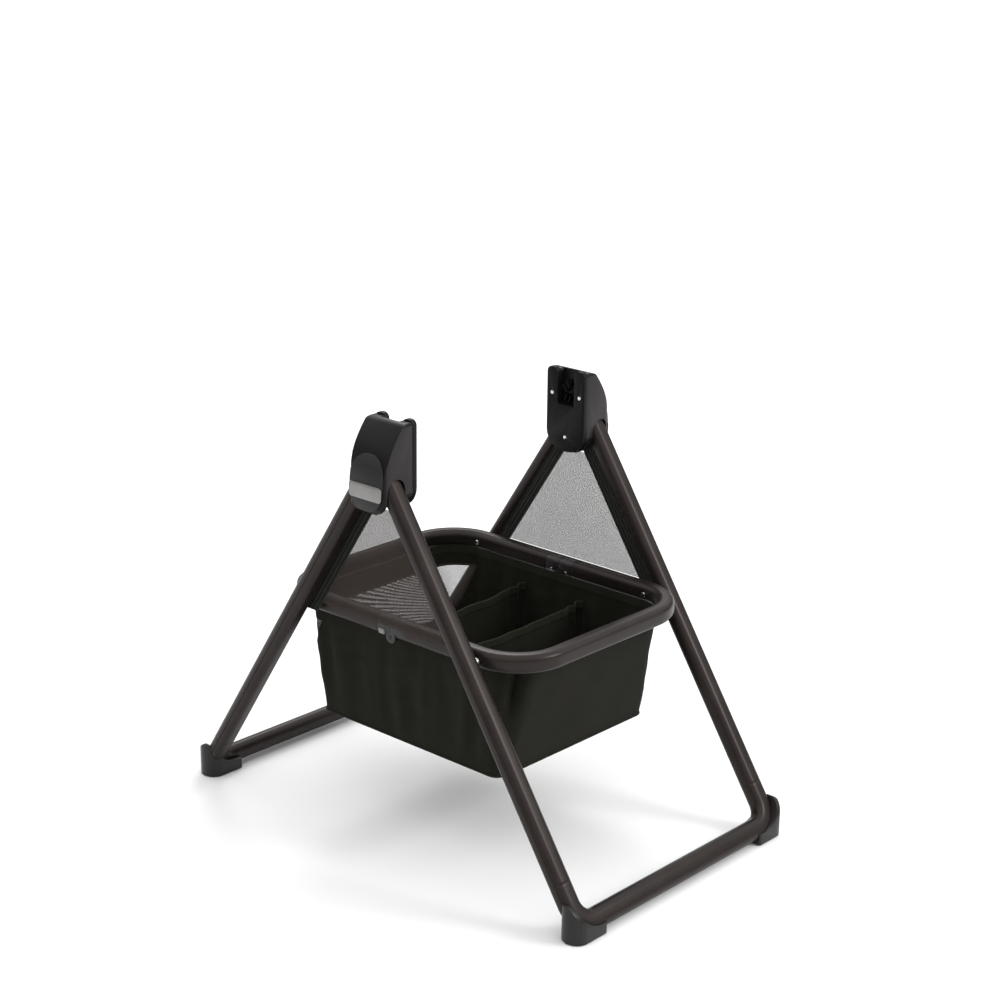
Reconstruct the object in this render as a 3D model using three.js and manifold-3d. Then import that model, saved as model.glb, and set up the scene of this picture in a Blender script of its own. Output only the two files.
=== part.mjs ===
// Folding stand for a baby carrycot, with a fabric storage basket.
// Millimetres, +Z up. X runs along the base bars, from the left head to the right head; -Y is the front.
// The origin is on the floor, under the middle of the stand.
import * as THREE from 'three';
import { mergeVertices } from 'three/addons/utils/BufferGeometryUtils.js';
import Module from 'manifold-3d';

const wasm = await Module();
wasm.setup();

// ---------- driving dimensions ----------
const GAP = 0.3; // between pieces that touch
const EPS = 1; // how far a cutter runs past a face
const MIRROR = [-1, 1]; // left and right, or front and rear

const LEG_X = 225; // plane of each pair of legs
const LEG_TILT = THREE.MathUtils.degToRad(33.2); // from the vertical
const BASE_Y = 394.9; // centre of the base bars
const BASE_Z = 20.5;
const PIVOT_Z = 592.2; // hinge of each leg, inside the head
const PIVOT_Y = BASE_Y - (PIVOT_Z - BASE_Z) * Math.tan(LEG_TILT);

const TUBE_WIDE = 32; // frame tube, in the plane of its U
const TUBE_DEEP = 27.2;
const TUBE_CORNER = 12;
const TUBE_WALL = 1.6;
const BASE_BEND = 34; // centre-line radius of the base corners
const RISER_TOP_Z = 74; // where the leg tubes plug on to the base
const LEG_PAST_PIVOT = 13;
const LEG_PIN_R = 4;
const BEND_STEPS = 5; // facets in a quarter bend

const RIM_X = 188.7; // centre-line of the upper rim
const RIM_Y = 247.7;
const RIM_Z = 353.3;
const RIM_BEND = 76;
const RIM_WIDE = 27;
const RIM_TALL = 29;
const RIM_CORNER = 10;
const RIM_PIVOT_Y = BASE_Y - (RIM_Z - BASE_Z) * Math.tan(LEG_TILT); // where the rim hangs on the legs
const KNUCKLE_REACH = 28; // from the middle of the rim to the tube ends
const HINGE_Z = 340; // axis of the rim's middle hinges
const KNUCKLE_R = 9.5;
const KNUCKLE_BORE = 3.3;
const TONGUE_HALF = 4.2;
const FORK_INNER = 4.6;
const FORK_OUTER = 13.2;

const HEAD_INNER_X = 184.5; // face of the receiver plate
const PLATE_THICK = 8;
const HEAD_HALF = 38; // half width of a head along Y
const HEAD_BOTTOM = 544;
const HEAD_TOP = 677;
const HEAD_OUTER_X = 248.5;
const SHELL_INNER_X = HEAD_INNER_X + PLATE_THICK + GAP;
const CAVITY_X = [207.5, 242.5]; // room for the legs
const CAVITY_HALF = 35.5;
const CAVITY_TOP = 616;
const NOTCH_TOP = 597;
const SLOT_HALF = 17; // receiver slot
const SLOT_FLOOR = 620;
const SLOT_DEEP_X = 201;
const EAR_R = 9;
const HEAD_BOTTOM_R = 28;
const HEAD_TOP_R = 5;

const BASKET_TOP_Z = 338;
const BASKET_FLOOR_Z = 159;
const BASKET_TOP_X = 174.4;
const BASKET_TOP_Y = 233.2;
const BASKET_FLOOR_X = 169;
const BASKET_FLOOR_Y = 188;
const BASKET_WALL = 2.4;
const BASKET_CORNER = [18, 56]; // at the floor and at the top
const DIVIDER_Y = [-55, 67];
const DIVIDER_TOP_Z = 312;
const DIVIDER_THICK = 3;

const PANEL_X = 211; // side mesh, between the legs
const PANEL_THICK = 1.6;
const PANEL_Z = [361, 541.5];
const PANEL_TO_LEG = 10.2; // from a leg's centre-line to the panel's edge

// ---------- materials ----------
/** Material of a colour, a roughness and a metalness. */
function finish(color, roughness, metalness) {
  return new THREE.MeshStandardMaterial({ color, roughness, metalness });
}

const MATERIALS = {
  tube: finish('#3e3837', 0.42, 0.6),
  plastic: finish('#1d1b1b', 0.4, 0),
  cap: finish('#2a2727', 0.6, 0),
  badge: finish('#b9b7b4', 0.35, 0.8),
  steel: finish('#c9c8c6', 0.3, 0.9),
  pad: finish('#201f1f', 0.85, 0),
  fabric: finish('#1b2018', 0.9, 0),
  mesh: finish('#7d7571', 0.8, 0),
};

// ---------- solids ----------
/** Turns a three.js geometry into a manifold solid. */
function solid(geometry) {
  geometry.deleteAttribute('normal');
  geometry.deleteAttribute('uv');
  const merged = mergeVertices(geometry, 1e-4);
  const mesh = new wasm.Mesh({
    numProp: 3,
    vertProperties: new Float32Array(merged.attributes.position.array),
    triVerts: new Uint32Array(merged.index.array),
  });
  return new wasm.Manifold(mesh);
}

/** Turns a manifold solid back into a three.js geometry. */
function geometryOf(manifold) {
  const mesh = manifold.getMesh();
  const geometry = new THREE.BufferGeometry();
  geometry.setAttribute('position', new THREE.BufferAttribute(mesh.vertProperties, 3));
  geometry.setIndex(new THREE.BufferAttribute(mesh.triVerts, 1));
  geometry.computeVertexNormals();
  return geometry;
}

/** Box from its low corner to its high corner. */
function box(low, high) {
  const size = high.map((value, axis) => value - low[axis]);
  const geometry = new THREE.BoxGeometry(...size);
  geometry.translate(...low.map((value, axis) => value + size[axis] / 2));
  return solid(geometry);
}

/** Rod along X, from x0 to x1, about the line (y, z). */
function rodX(radius, x0, x1, y, z, sides = 16) {
  const geometry = new THREE.CylinderGeometry(radius, radius, x1 - x0, sides);
  geometry.rotateZ(Math.PI / 2);
  geometry.translate((x0 + x1) / 2, y, z);
  return solid(geometry);
}

/** Mirror copy of a solid across the plane x = 0 or y = 0 for a side of -1. */
function sided(manifold, xSide, ySide = 1) {
  let result = manifold;
  if (xSide < 0) result = result.mirror([1, 0, 0]);
  if (ySide < 0) result = result.mirror([0, 1, 0]);
  return result;
}

/** Rectangle outline with rounded corners. */
function roundedRectangle(halfWidth, halfHeight, radius) {
  const shape = new THREE.Shape();
  const x = halfWidth - radius;
  const y = halfHeight - radius;
  shape.absarc(x, y, radius, 0, Math.PI / 2);
  shape.absarc(-x, y, radius, Math.PI / 2, Math.PI);
  shape.absarc(-x, -y, radius, Math.PI, 1.5 * Math.PI);
  shape.absarc(x, -y, radius, 1.5 * Math.PI, 2 * Math.PI);
  return shape;
}

/** Extrudes an outline drawn in (y, z) along X, from x0 to x1. */
function extrudeX(shape, x0, x1, curveSegments = 4) {
  const geometry = new THREE.ExtrudeGeometry(shape, { depth: x1 - x0, bevelEnabled: false, curveSegments });
  geometry.rotateX(Math.PI / 2);
  geometry.rotateZ(Math.PI / 2);
  geometry.translate(x0, 0, 0);
  return solid(geometry);
}

/** Extrudes an outline drawn in (x, z) along Y, from y0 to y1. */
function extrudeY(shape, y0, y1, curveSegments = 6) {
  const geometry = new THREE.ExtrudeGeometry(shape, { depth: y1 - y0, bevelEnabled: false, curveSegments });
  geometry.rotateX(Math.PI / 2);
  geometry.translate(0, y1, 0);
  return solid(geometry);
}

/** Extrudes an outline drawn in (x, y) along Z, from z0 to z1. */
function extrudeZ(shape, z0, z1, curveSegments = 6) {
  const geometry = new THREE.ExtrudeGeometry(shape, { depth: z1 - z0, bevelEnabled: false, curveSegments });
  geometry.translate(0, 0, z0);
  return solid(geometry);
}

// ---------- tubes ----------
/** Flat U in the XY plane, open towards +Y, with a ring of vertices only where the tube needs one. */
class UPath extends THREE.Curve {
  constructor(halfWidth, depth, bend, bendSteps) {
    super();
    this.stations = [{ at: new THREE.Vector3(-halfWidth, depth, 0), angle: -Math.PI / 2 }];
    for (const side of MIRROR) this.addBend(side * (halfWidth - bend), bend, (5 + side) * (Math.PI / 4), bendSteps);
    this.stations.push({ at: new THREE.Vector3(halfWidth, depth, 0), angle: Math.PI / 2 });
  }

  addBend(centreX, radius, startAngle, steps) {
    for (let step = 0; step <= steps; step += 1) {
      const angle = startAngle + (step / steps) * (Math.PI / 2);
      const at = new THREE.Vector3(centreX + radius * Math.cos(angle), radius + radius * Math.sin(angle), 0);
      this.stations.push({ at, angle: angle + Math.PI / 2 });
    }
  }

  get steps() {
    return this.stations.length - 1;
  }

  station(u) {
    return this.stations[Math.round(u * this.steps)];
  }

  getPointAt(u, target = new THREE.Vector3()) {
    return target.copy(this.station(u).at);
  }

  getTangentAt(u, target = new THREE.Vector3()) {
    const { angle } = this.station(u);
    return target.set(Math.cos(angle), Math.sin(angle), 0);
  }
}

/** Solid bar of rounded section along a flat U; deep is across the plane of the U. */
function uBar(path, deep, wide, corner, curveSegments = 2) {
  const options = { steps: path.steps, extrudePath: path, curveSegments };
  return solid(new THREE.ExtrudeGeometry(roundedRectangle(deep / 2, wide / 2, corner), options));
}

/** Hollow tube along a flat U; the bore runs out through both ends. */
function uTube(halfWidth, depth, bend, bendSteps, deep, wide, corner) {
  const outer = uBar(new UPath(halfWidth, depth, bend, bendSteps), deep, wide, corner);
  const boreSize = [deep - 2 * TUBE_WALL, wide - 2 * TUBE_WALL, corner - TUBE_WALL];
  const bore = uBar(new UPath(halfWidth, depth + EPS, bend, bendSteps), ...boreSize);
  return outer.subtract(bore);
}

/** Stands a flat U drawn in the XY plane up in the plane of the front legs. */
function inLegPlane(manifold) {
  const degrees = THREE.MathUtils.radToDeg(Math.PI / 2 - LEG_TILT);
  return manifold.rotate([degrees, 0, 0]).translate([0, -BASE_Y, BASE_Z]);
}

const riserLength = (RISER_TOP_Z - BASE_Z) / Math.cos(LEG_TILT);
const pivotLength = (PIVOT_Z - BASE_Z) / Math.cos(LEG_TILT);

/** Front base: a bar with a bend and a short riser at each end. */
function baseTube() {
  return inLegPlane(uTube(LEG_X, riserLength, BASE_BEND, BEND_STEPS, TUBE_DEEP, TUBE_WIDE, TUBE_CORNER));
}

/** Front right leg: straight tube from the riser to just past its hinge in the head. */
function legTube() {
  const start = riserLength + GAP;
  const length = pivotLength + LEG_PAST_PIVOT - start;
  const boreHalf = [TUBE_WIDE / 2 - TUBE_WALL, TUBE_DEEP / 2 - TUBE_WALL];
  const section = roundedRectangle(TUBE_WIDE / 2, TUBE_DEEP / 2, TUBE_CORNER);
  const bore = roundedRectangle(...boreHalf, TUBE_CORNER - TUBE_WALL);
  section.holes.push(new THREE.Path(bore.getPoints(2).reverse()));
  const options = { depth: length, bevelEnabled: false, curveSegments: 2 };
  const geometry = new THREE.ExtrudeGeometry(section, options);
  geometry.rotateX(-Math.PI / 2);
  geometry.translate(LEG_X, start, 0);
  const pinHole = rodX(LEG_PIN_R + GAP, LEG_X - TUBE_WIDE, LEG_X + TUBE_WIDE, -PIVOT_Y, PIVOT_Z, 12);
  return inLegPlane(solid(geometry)).subtract(pinHole);
}

/** Right front hinge pin of a leg, across the head's cavity. */
function legPin() {
  return rodX(LEG_PIN_R, CAVITY_X[0] + GAP, CAVITY_X[1] - GAP, -PIVOT_Y, PIVOT_Z, 12);
}

// ---------- feet ----------
const PAD_TOP = 1.6;
const FOOT_FLOOR = PAD_TOP + GAP;
const FOOT_INNER_X = 182;
const FOOT_Y = 392; // middle of the footprint
const FOOT_HALF = 21.5;
const FOOT_CORNER = 3; // at its square inner end
const PAD_INSET = 2;
const FOOT_ROUND_X = 224.5; // centre of its round outer end
const FOOT_WALL_Z = 57; // top of the outer wall, beside the riser
const FOOT_TOE_Z = 21; // top of the upright part of the toe
const FOOT_SLOPE_Y = 390; // where the toe's slope meets the leg

/** Outline of the front right foot, in (x, y), shrunk by an inset. */
function footOutline(inset) {
  const half = FOOT_HALF - inset;
  const inner = FOOT_INNER_X + inset;
  const shape = new THREE.Shape();
  shape.moveTo(inner, -FOOT_Y + half - FOOT_CORNER);
  shape.lineTo(inner, -FOOT_Y - half + FOOT_CORNER);
  shape.quadraticCurveTo(inner, -FOOT_Y - half, inner + FOOT_CORNER, -FOOT_Y - half);
  shape.absarc(FOOT_ROUND_X, -FOOT_Y, half, -Math.PI / 2, Math.PI / 2);
  shape.quadraticCurveTo(inner, -FOOT_Y + half, inner, -FOOT_Y + half - FOOT_CORNER);
  return shape;
}

/** Foot seen along Y, in (x, z): a sole that sweeps up round the outside of the bend. */
function footSilhouette() {
  const shape = new THREE.Shape();
  const outer = FOOT_ROUND_X + FOOT_HALF + EPS;
  const bendX = LEG_X - BASE_BEND;
  shape.moveTo(FOOT_INNER_X - EPS, FOOT_FLOOR - EPS);
  shape.lineTo(outer, FOOT_FLOOR - EPS);
  shape.lineTo(outer, FOOT_WALL_Z);
  shape.lineTo(LEG_X + TUBE_WIDE / 2 - EPS, FOOT_WALL_Z);
  shape.quadraticCurveTo(LEG_X, BASE_Z, bendX, BASE_Z - EPS);
  shape.lineTo(FOOT_INNER_X - EPS, BASE_Z - EPS);
  shape.closePath();
  return shape;
}

/** Foot seen along X, in (y, z): an upright toe that slopes back up to the leg. */
function footSlope() {
  const toe = -FOOT_Y - FOOT_HALF - EPS;
  const heel = -FOOT_Y + FOOT_HALF + EPS;
  const shape = new THREE.Shape();
  shape.moveTo(heel, FOOT_FLOOR - EPS);
  shape.lineTo(heel, FOOT_WALL_Z + EPS);
  shape.lineTo(-FOOT_SLOPE_Y, FOOT_WALL_Z + EPS);
  shape.lineTo(toe, FOOT_TOE_Z);
  shape.lineTo(toe, FOOT_FLOOR - EPS);
  shape.closePath();
  return shape;
}

/** Front right foot: a moulded boot with a channel that the bent tube lies in. */
function foot() {
  const path = new UPath(LEG_X, riserLength, BASE_BEND, BEND_STEPS);
  const channel = inLegPlane(uBar(path, TUBE_DEEP + 2 * GAP, TUBE_WIDE + 2 * GAP, TUBE_CORNER + GAP));
  return extrudeZ(footOutline(0), FOOT_FLOOR, FOOT_WALL_Z, 4)
    .intersect(extrudeY(footSilhouette(), -FOOT_Y - 2 * FOOT_HALF, -FOOT_Y + 2 * FOOT_HALF, 4))
    .intersect(extrudeX(footSlope(), FOOT_INNER_X - EPS, HEAD_OUTER_X + 2 * EPS))
    .subtract(channel);
}

/** Front right rubber pad under the foot. */
function footPad() {
  return extrudeZ(footOutline(PAD_INSET), 0, PAD_TOP, 4);
}

// ---------- upper rim ----------
const RIM_BOLT_R = 2.8;
const RIM_BOLT_HEAD = { thick: 2.2, top: 3.6, radius: 4 };
const RIM_COLLAR_R = 5.5;
const RIM_BOLT_STANDOFF = 1.9; // the rim starts to bend at its bolts

/** Front half of the rim: a flat U with its ends at the middle hinges. */
function rimTube() {
  const depth = RIM_Y - KNUCKLE_REACH;
  const tube = uTube(RIM_X, depth, RIM_BEND, BEND_STEPS, RIM_TALL, RIM_WIDE, RIM_CORNER);
  const hole = rodX(RIM_BOLT_R + GAP, -RIM_X - RIM_WIDE, RIM_X + RIM_WIDE, -RIM_PIVOT_Y, RIM_Z, 12);
  return tube.translate([0, -RIM_Y, RIM_Z]).subtract(hole);
}

/** Bolt that hangs the rim on a leg, about the X axis: head, shank and collar. */
function rimBolt() {
  const inner = RIM_X - RIM_WIDE / 2 - RIM_BOLT_STANDOFF;
  const outer = RIM_X + RIM_WIDE / 2 + GAP;
  const legFace = LEG_X - TUBE_WIDE / 2 - GAP;
  const profile = [
    [0, inner - RIM_BOLT_HEAD.thick],
    [RIM_BOLT_HEAD.top, inner - RIM_BOLT_HEAD.thick],
    [RIM_BOLT_HEAD.radius, inner],
    [RIM_BOLT_R, inner],
    [RIM_BOLT_R, outer],
    [RIM_COLLAR_R, outer],
    [RIM_COLLAR_R, legFace],
    [0, legFace],
  ].map(([radius, along]) => new THREE.Vector2(radius, along));
  const geometry = new THREE.LatheGeometry(profile, 12);
  geometry.rotateZ(-Math.PI / 2);
  geometry.translate(0, -RIM_PIVOT_Y, RIM_Z);
  return solid(geometry);
}

/** Box of the knuckle housing on the right side, between the tube end and the middle. */
function knuckleHousing() {
  const half = RIM_WIDE / 2;
  const floor = HINGE_Z + GAP;
  const shape = new THREE.Shape();
  shape.moveTo(-KNUCKLE_REACH + GAP, floor);
  shape.lineTo(-GAP, floor);
  shape.lineTo(-GAP, RIM_Z + RIM_TALL / 2);
  shape.lineTo(-KNUCKLE_REACH + GAP, RIM_Z + RIM_TALL / 2);
  shape.closePath();
  const section = roundedRectangle(half, RIM_TALL / 2, RIM_CORNER);
  const rounded = extrudeY(section, -KNUCKLE_REACH, 0, 2).translate([RIM_X, 0, RIM_Z]);
  return extrudeX(shape, RIM_X - half, RIM_X + half).intersect(rounded);
}

/** Knuckle barrel about the hinge axis, between two offsets from the rim's centre-line. */
function barrel(radius, from, to) {
  return rodX(radius, RIM_X + from, RIM_X + to, 0, HINGE_Z, 18);
}

/** Fork of the right middle hinge, on the front half of the rim. */
function hingeFork() {
  const clearTongue = barrel(KNUCKLE_R + GAP, -TONGUE_HALF - GAP, TONGUE_HALF + GAP);
  const body = knuckleHousing().subtract(clearTongue);
  return body
    .add(barrel(KNUCKLE_R, FORK_INNER, FORK_OUTER))
    .add(barrel(KNUCKLE_R, -FORK_OUTER, -FORK_INNER))
    .subtract(barrel(KNUCKLE_BORE, -2 * FORK_OUTER, 2 * FORK_OUTER));
}

/** Tongue of the right middle hinge, on the rear half of the rim. */
function hingeTongue() {
  const reach = FORK_OUTER + GAP + EPS;
  const clearRadius = KNUCKLE_R + GAP;
  const clearFork = barrel(clearRadius, TONGUE_HALF, reach).add(barrel(clearRadius, -reach, -TONGUE_HALF));
  return knuckleHousing()
    .mirror([0, 1, 0])
    .subtract(clearFork)
    .add(barrel(KNUCKLE_R, -TONGUE_HALF, TONGUE_HALF))
    .subtract(barrel(KNUCKLE_BORE, -2 * FORK_OUTER, 2 * FORK_OUTER))
    .subtract(buttonPocket());
}

const BUTTON_Y = [12, 24];
const BUTTON_Z = [341.5, 350];
const BUTTON_X = [195.5, 204];
const BUTTON_TRAVEL_ROOM = 5;

/** Pocket for the release button, in the outer side of the tongue's housing. */
function buttonPocket() {
  const low = [BUTTON_X[0] - BUTTON_TRAVEL_ROOM, BUTTON_Y[0] - GAP, BUTTON_Z[0] - GAP];
  return box(low, [BUTTON_X[1], BUTTON_Y[1] + GAP, BUTTON_Z[1] + GAP]);
}

/** Right release button of the rim's middle hinge. */
function releaseButton() {
  return box([BUTTON_X[0], BUTTON_Y[0], BUTTON_Z[0]], [BUTTON_X[1], BUTTON_Y[1], BUTTON_Z[1]]);
}

/** Right pin of the rim's middle hinge. */
function hingePin() {
  return barrel(KNUCKLE_BORE - GAP, -FORK_OUTER, FORK_OUTER);
}

// ---------- heads ----------
/** Head seen along X: straight sides, round bottom and small top corners. */
function headOutline(halfWidth, bottom, top, bottomRadius, topRadius) {
  const shape = new THREE.Shape();
  shape.absarc(halfWidth - bottomRadius, bottom + bottomRadius, bottomRadius, -Math.PI / 2, 0);
  shape.absarc(halfWidth - topRadius, top - topRadius, topRadius, 0, Math.PI / 2);
  shape.absarc(-halfWidth + topRadius, top - topRadius, topRadius, Math.PI / 2, Math.PI);
  shape.absarc(-halfWidth + bottomRadius, bottom + bottomRadius, bottomRadius, Math.PI, 1.5 * Math.PI);
  return shape;
}

const HEAD_LIP = 1; // the housing's top lies this far under HEAD_TOP
const HEAD_SWELL = [HEAD_BOTTOM + 17, HEAD_BOTTOM + 35]; // upright stretch of the outer face
const HEAD_SHOULDER = { x: 236, drop: 33, handle: 60 };
const HEAD_BROW = { x: 213, drop: 5, crest: 203 }; // where the outer face turns into the top
const HEAD_CHIN = 6;

/** Head seen along Y: flat inside, and an outer face that swells from the top down; grown by an offset. */
function headProfile(offset) {
  const shape = new THREE.Shape();
  const outer = HEAD_OUTER_X + offset;
  const brow = HEAD_BROW.x + offset;
  shape.moveTo(SHELL_INNER_X, HEAD_BOTTOM - offset);
  shape.lineTo(outer - HEAD_CHIN, HEAD_BOTTOM - offset);
  shape.quadraticCurveTo(outer, HEAD_BOTTOM, outer, HEAD_SWELL[0]);
  shape.lineTo(outer, HEAD_SWELL[1]);
  shape.bezierCurveTo(
    outer,
    HEAD_TOP - HEAD_SHOULDER.handle,
    HEAD_SHOULDER.x + offset,
    HEAD_TOP - HEAD_SHOULDER.drop,
    brow,
    HEAD_TOP - HEAD_BROW.drop,
  );
  shape.quadraticCurveTo(brow - 3 * HEAD_LIP, HEAD_TOP - 2 * HEAD_LIP, HEAD_BROW.crest, HEAD_TOP - HEAD_LIP);
  shape.lineTo(SHELL_INNER_X, HEAD_TOP - HEAD_LIP);
  shape.closePath();
  return shape;
}

const PLATE_TOP = HEAD_TOP + 2;
const SLOT_CORNER = 3;

/** Receiver slot on the right, round at its floor, with a mouth that flares between the two ears. */
function slotCutter(x0, x1) {
  const shape = new THREE.Shape();
  const corner = SLOT_HALF - SLOT_CORNER;
  const ear = SLOT_HALF + EAR_R;
  shape.absarc(corner, SLOT_FLOOR + SLOT_CORNER, SLOT_CORNER, -Math.PI / 2, 0);
  shape.absarc(ear, PLATE_TOP - EAR_R, EAR_R, Math.PI, Math.PI / 2, true);
  shape.lineTo(ear, PLATE_TOP + EPS);
  shape.lineTo(-ear, PLATE_TOP + EPS);
  shape.absarc(-ear, PLATE_TOP - EAR_R, EAR_R, Math.PI / 2, 0, true);
  shape.absarc(-corner, SLOT_FLOOR + SLOT_CORNER, SLOT_CORNER, Math.PI, 1.5 * Math.PI);
  return extrudeX(shape, x0, x1, 4);
}

const NOTCH_SHOULDER = 21; // how far below its top the notch's arch starts
const NOTCH_CROWN = 4; // half of the flat at the top of the arch
const NOTCH_ROUND = 0.4; // share of the shoulder that the arch's handle takes

/** Arched notch in (x, z), through which each leg enters the head. */
function notchShape() {
  const [inner, outer] = CAVITY_X;
  const shoulder = NOTCH_TOP - NOTCH_SHOULDER;
  const spring = NOTCH_TOP - NOTCH_ROUND * NOTCH_SHOULDER;
  const haunch = (outer - LEG_X - NOTCH_CROWN) / 2;
  const crown = [LEG_X - NOTCH_CROWN, LEG_X + NOTCH_CROWN];
  const shape = new THREE.Shape();
  shape.moveTo(inner, HEAD_BOTTOM - EPS);
  shape.lineTo(inner, shoulder);
  shape.bezierCurveTo(inner, spring, crown[0] - haunch, NOTCH_TOP, crown[0], NOTCH_TOP);
  shape.lineTo(crown[1], NOTCH_TOP);
  shape.bezierCurveTo(crown[1] + haunch, NOTCH_TOP, outer, spring, outer, shoulder);
  shape.lineTo(outer, HEAD_BOTTOM - EPS);
  shape.closePath();
  return shape;
}

const HEAD_PLAN_X = 234; // where the sides start to round into the outer face
const HEAD_FACE_HALF = 26; // half of the flat of the outer face

/** Head seen from above, in (x, y): square inside, rounded outside. */
function headPlan() {
  const outer = HEAD_OUTER_X + EPS;
  const shape = new THREE.Shape();
  shape.moveTo(SHELL_INNER_X - EPS, -HEAD_HALF - EPS);
  shape.lineTo(HEAD_PLAN_X, -HEAD_HALF - EPS);
  shape.lineTo(HEAD_PLAN_X, -HEAD_HALF);
  shape.quadraticCurveTo(outer, -HEAD_HALF, outer, -HEAD_FACE_HALF);
  shape.lineTo(outer, HEAD_FACE_HALF);
  shape.quadraticCurveTo(outer, HEAD_HALF, HEAD_PLAN_X, HEAD_HALF);
  shape.lineTo(HEAD_PLAN_X, HEAD_HALF + EPS);
  shape.lineTo(SHELL_INNER_X - EPS, HEAD_HALF + EPS);
  shape.closePath();
  return shape;
}

/** Right head housing: holds the legs' hinges and the back of the receiver slot. */
function headShell() {
  const front = headOutline(HEAD_HALF, HEAD_BOTTOM, HEAD_TOP, HEAD_BOTTOM_R, HEAD_TOP_R);
  const outline = extrudeX(front, SHELL_INNER_X, HEAD_OUTER_X + EPS, 4);
  const body = extrudeY(headProfile(0), -HEAD_HALF, HEAD_HALF, 8)
    .intersect(outline)
    .intersect(extrudeZ(headPlan(), HEAD_BOTTOM - EPS, HEAD_TOP + EPS, 5));
  const room = box([CAVITY_X[0], -CAVITY_HALF, HEAD_BOTTOM - EPS], [CAVITY_X[1], CAVITY_HALF, CAVITY_TOP]);
  const notch = extrudeY(notchShape(), -HEAD_HALF - EPS, HEAD_HALF + EPS, 6);
  let result = body.subtract(room).subtract(notch).subtract(slotCutter(SHELL_INNER_X - EPS, SLOT_DEEP_X));
  for (const { y, z } of PLATE_SCREWS) {
    result = result.subtract(rodX(SCREW_SHANK_R + GAP, SHELL_INNER_X - EPS, SCREW_END_X + GAP, y, z, 10));
  }
  return result;
}

const SCREW_HEAD_R = 3.2;
const SCREW_HEAD_THICK = 1.6;
const SCREW_SHANK_R = 1.9;
const SCREW_END_X = SHELL_INNER_X + 5;
const SCREW_LOW_Z = HEAD_BOTTOM + 24.5;
const SCREW_EAR_Y = 28;
const SCREW_EAR_Z = HEAD_TOP - 40;
const PLATE_SCREWS = [
  { name: 'low', y: 0, z: SCREW_LOW_Z },
  { name: 'front', y: -SCREW_EAR_Y, z: SCREW_EAR_Z },
  { name: 'rear', y: SCREW_EAR_Y, z: SCREW_EAR_Z },
];

const PLATE_LIP = 0.5; // how far the plate stands past the housing
const PLATE_BOTTOM_R = 33;

/** Right receiver plate, with the slot that a carrycot's lug drops into. */
function headPlate() {
  const outer = HEAD_INNER_X + PLATE_THICK;
  const outline = headOutline(HEAD_HALF + PLATE_LIP, HEAD_BOTTOM + HEAD_LIP, PLATE_TOP, PLATE_BOTTOM_R, EAR_R);
  let plate = extrudeX(outline, HEAD_INNER_X, outer, 4);
  plate = plate.subtract(slotCutter(HEAD_INNER_X - EPS, outer + EPS));
  const sinkDepth = HEAD_INNER_X + SCREW_HEAD_THICK + GAP;
  for (const { y, z } of PLATE_SCREWS) {
    plate = plate
      .subtract(rodX(SCREW_HEAD_R + GAP, HEAD_INNER_X - EPS, sinkDepth, y, z, 12))
      .subtract(rodX(SCREW_SHANK_R + GAP, HEAD_INNER_X - EPS, outer + EPS, y, z, 10));
  }
  return plate;
}

/** Screw that holds the right plate on its housing. */
function plateScrew({ y, z }) {
  const profile = [
    [0, HEAD_INNER_X],
    [SCREW_HEAD_R, HEAD_INNER_X],
    [SCREW_HEAD_R, HEAD_INNER_X + SCREW_HEAD_THICK],
    [SCREW_SHANK_R, HEAD_INNER_X + SCREW_HEAD_THICK],
    [SCREW_SHANK_R, SCREW_END_X],
    [0, SCREW_END_X],
  ].map(([radius, along]) => new THREE.Vector2(radius, along));
  const geometry = new THREE.LatheGeometry(profile, 10);
  geometry.rotateZ(-Math.PI / 2);
  geometry.translate(0, y, z);
  return solid(geometry);
}

/** Skin that follows the head's outer face between two offsets from it, within an outline drawn in (y, z). */
function outerSkin(inner, outer, outline) {
  const skin = extrudeY(headProfile(outer), -HEAD_HALF, HEAD_HALF, 8).subtract(
    extrudeY(headProfile(inner), -HEAD_HALF - EPS, HEAD_HALF + EPS, 8),
  );
  return skin.intersect(extrudeX(outline, LEG_X, HEAD_OUTER_X + 2 * CAP.thick, 4));
}

const CAP = { half: 33, low: HEAD_BOTTOM + 4, high: HEAD_BOTTOM + 88, round: 30, thick: 2.3 };
const BADGE = { low: HEAD_BOTTOM + 22, high: HEAD_BOTTOM + 45, round: 6, thick: 1.2 };

/** Right hub cap: an oval on the outer face. */
function hubCap() {
  return outerSkin(GAP, CAP.thick, headOutline(CAP.half, CAP.low, CAP.high, CAP.round, CAP.round));
}

/** Right badge: a plain plate across the hub cap. */
function badge() {
  const inner = CAP.thick + GAP;
  const outline = headOutline(CAP.half, BADGE.low, BADGE.high, BADGE.round, BADGE.round);
  return outerSkin(inner, inner + BADGE.thick, outline);
}

// ---------- soft parts ----------
/** Rounded rectangle of the basket at a height, in (x, y), moved in by an inset. */
function basketSection(z, inset) {
  const share = (z - BASKET_FLOOR_Z) / (BASKET_TOP_Z - BASKET_FLOOR_Z);
  const halfX = THREE.MathUtils.lerp(BASKET_FLOOR_X, BASKET_TOP_X, share) - inset;
  const halfY = THREE.MathUtils.lerp(BASKET_FLOOR_Y, BASKET_TOP_Y, share) - inset;
  const radius = THREE.MathUtils.lerp(...BASKET_CORNER, share) - inset;
  return roundedRectangle(halfX, halfY, radius).getPoints(5);
}

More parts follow.
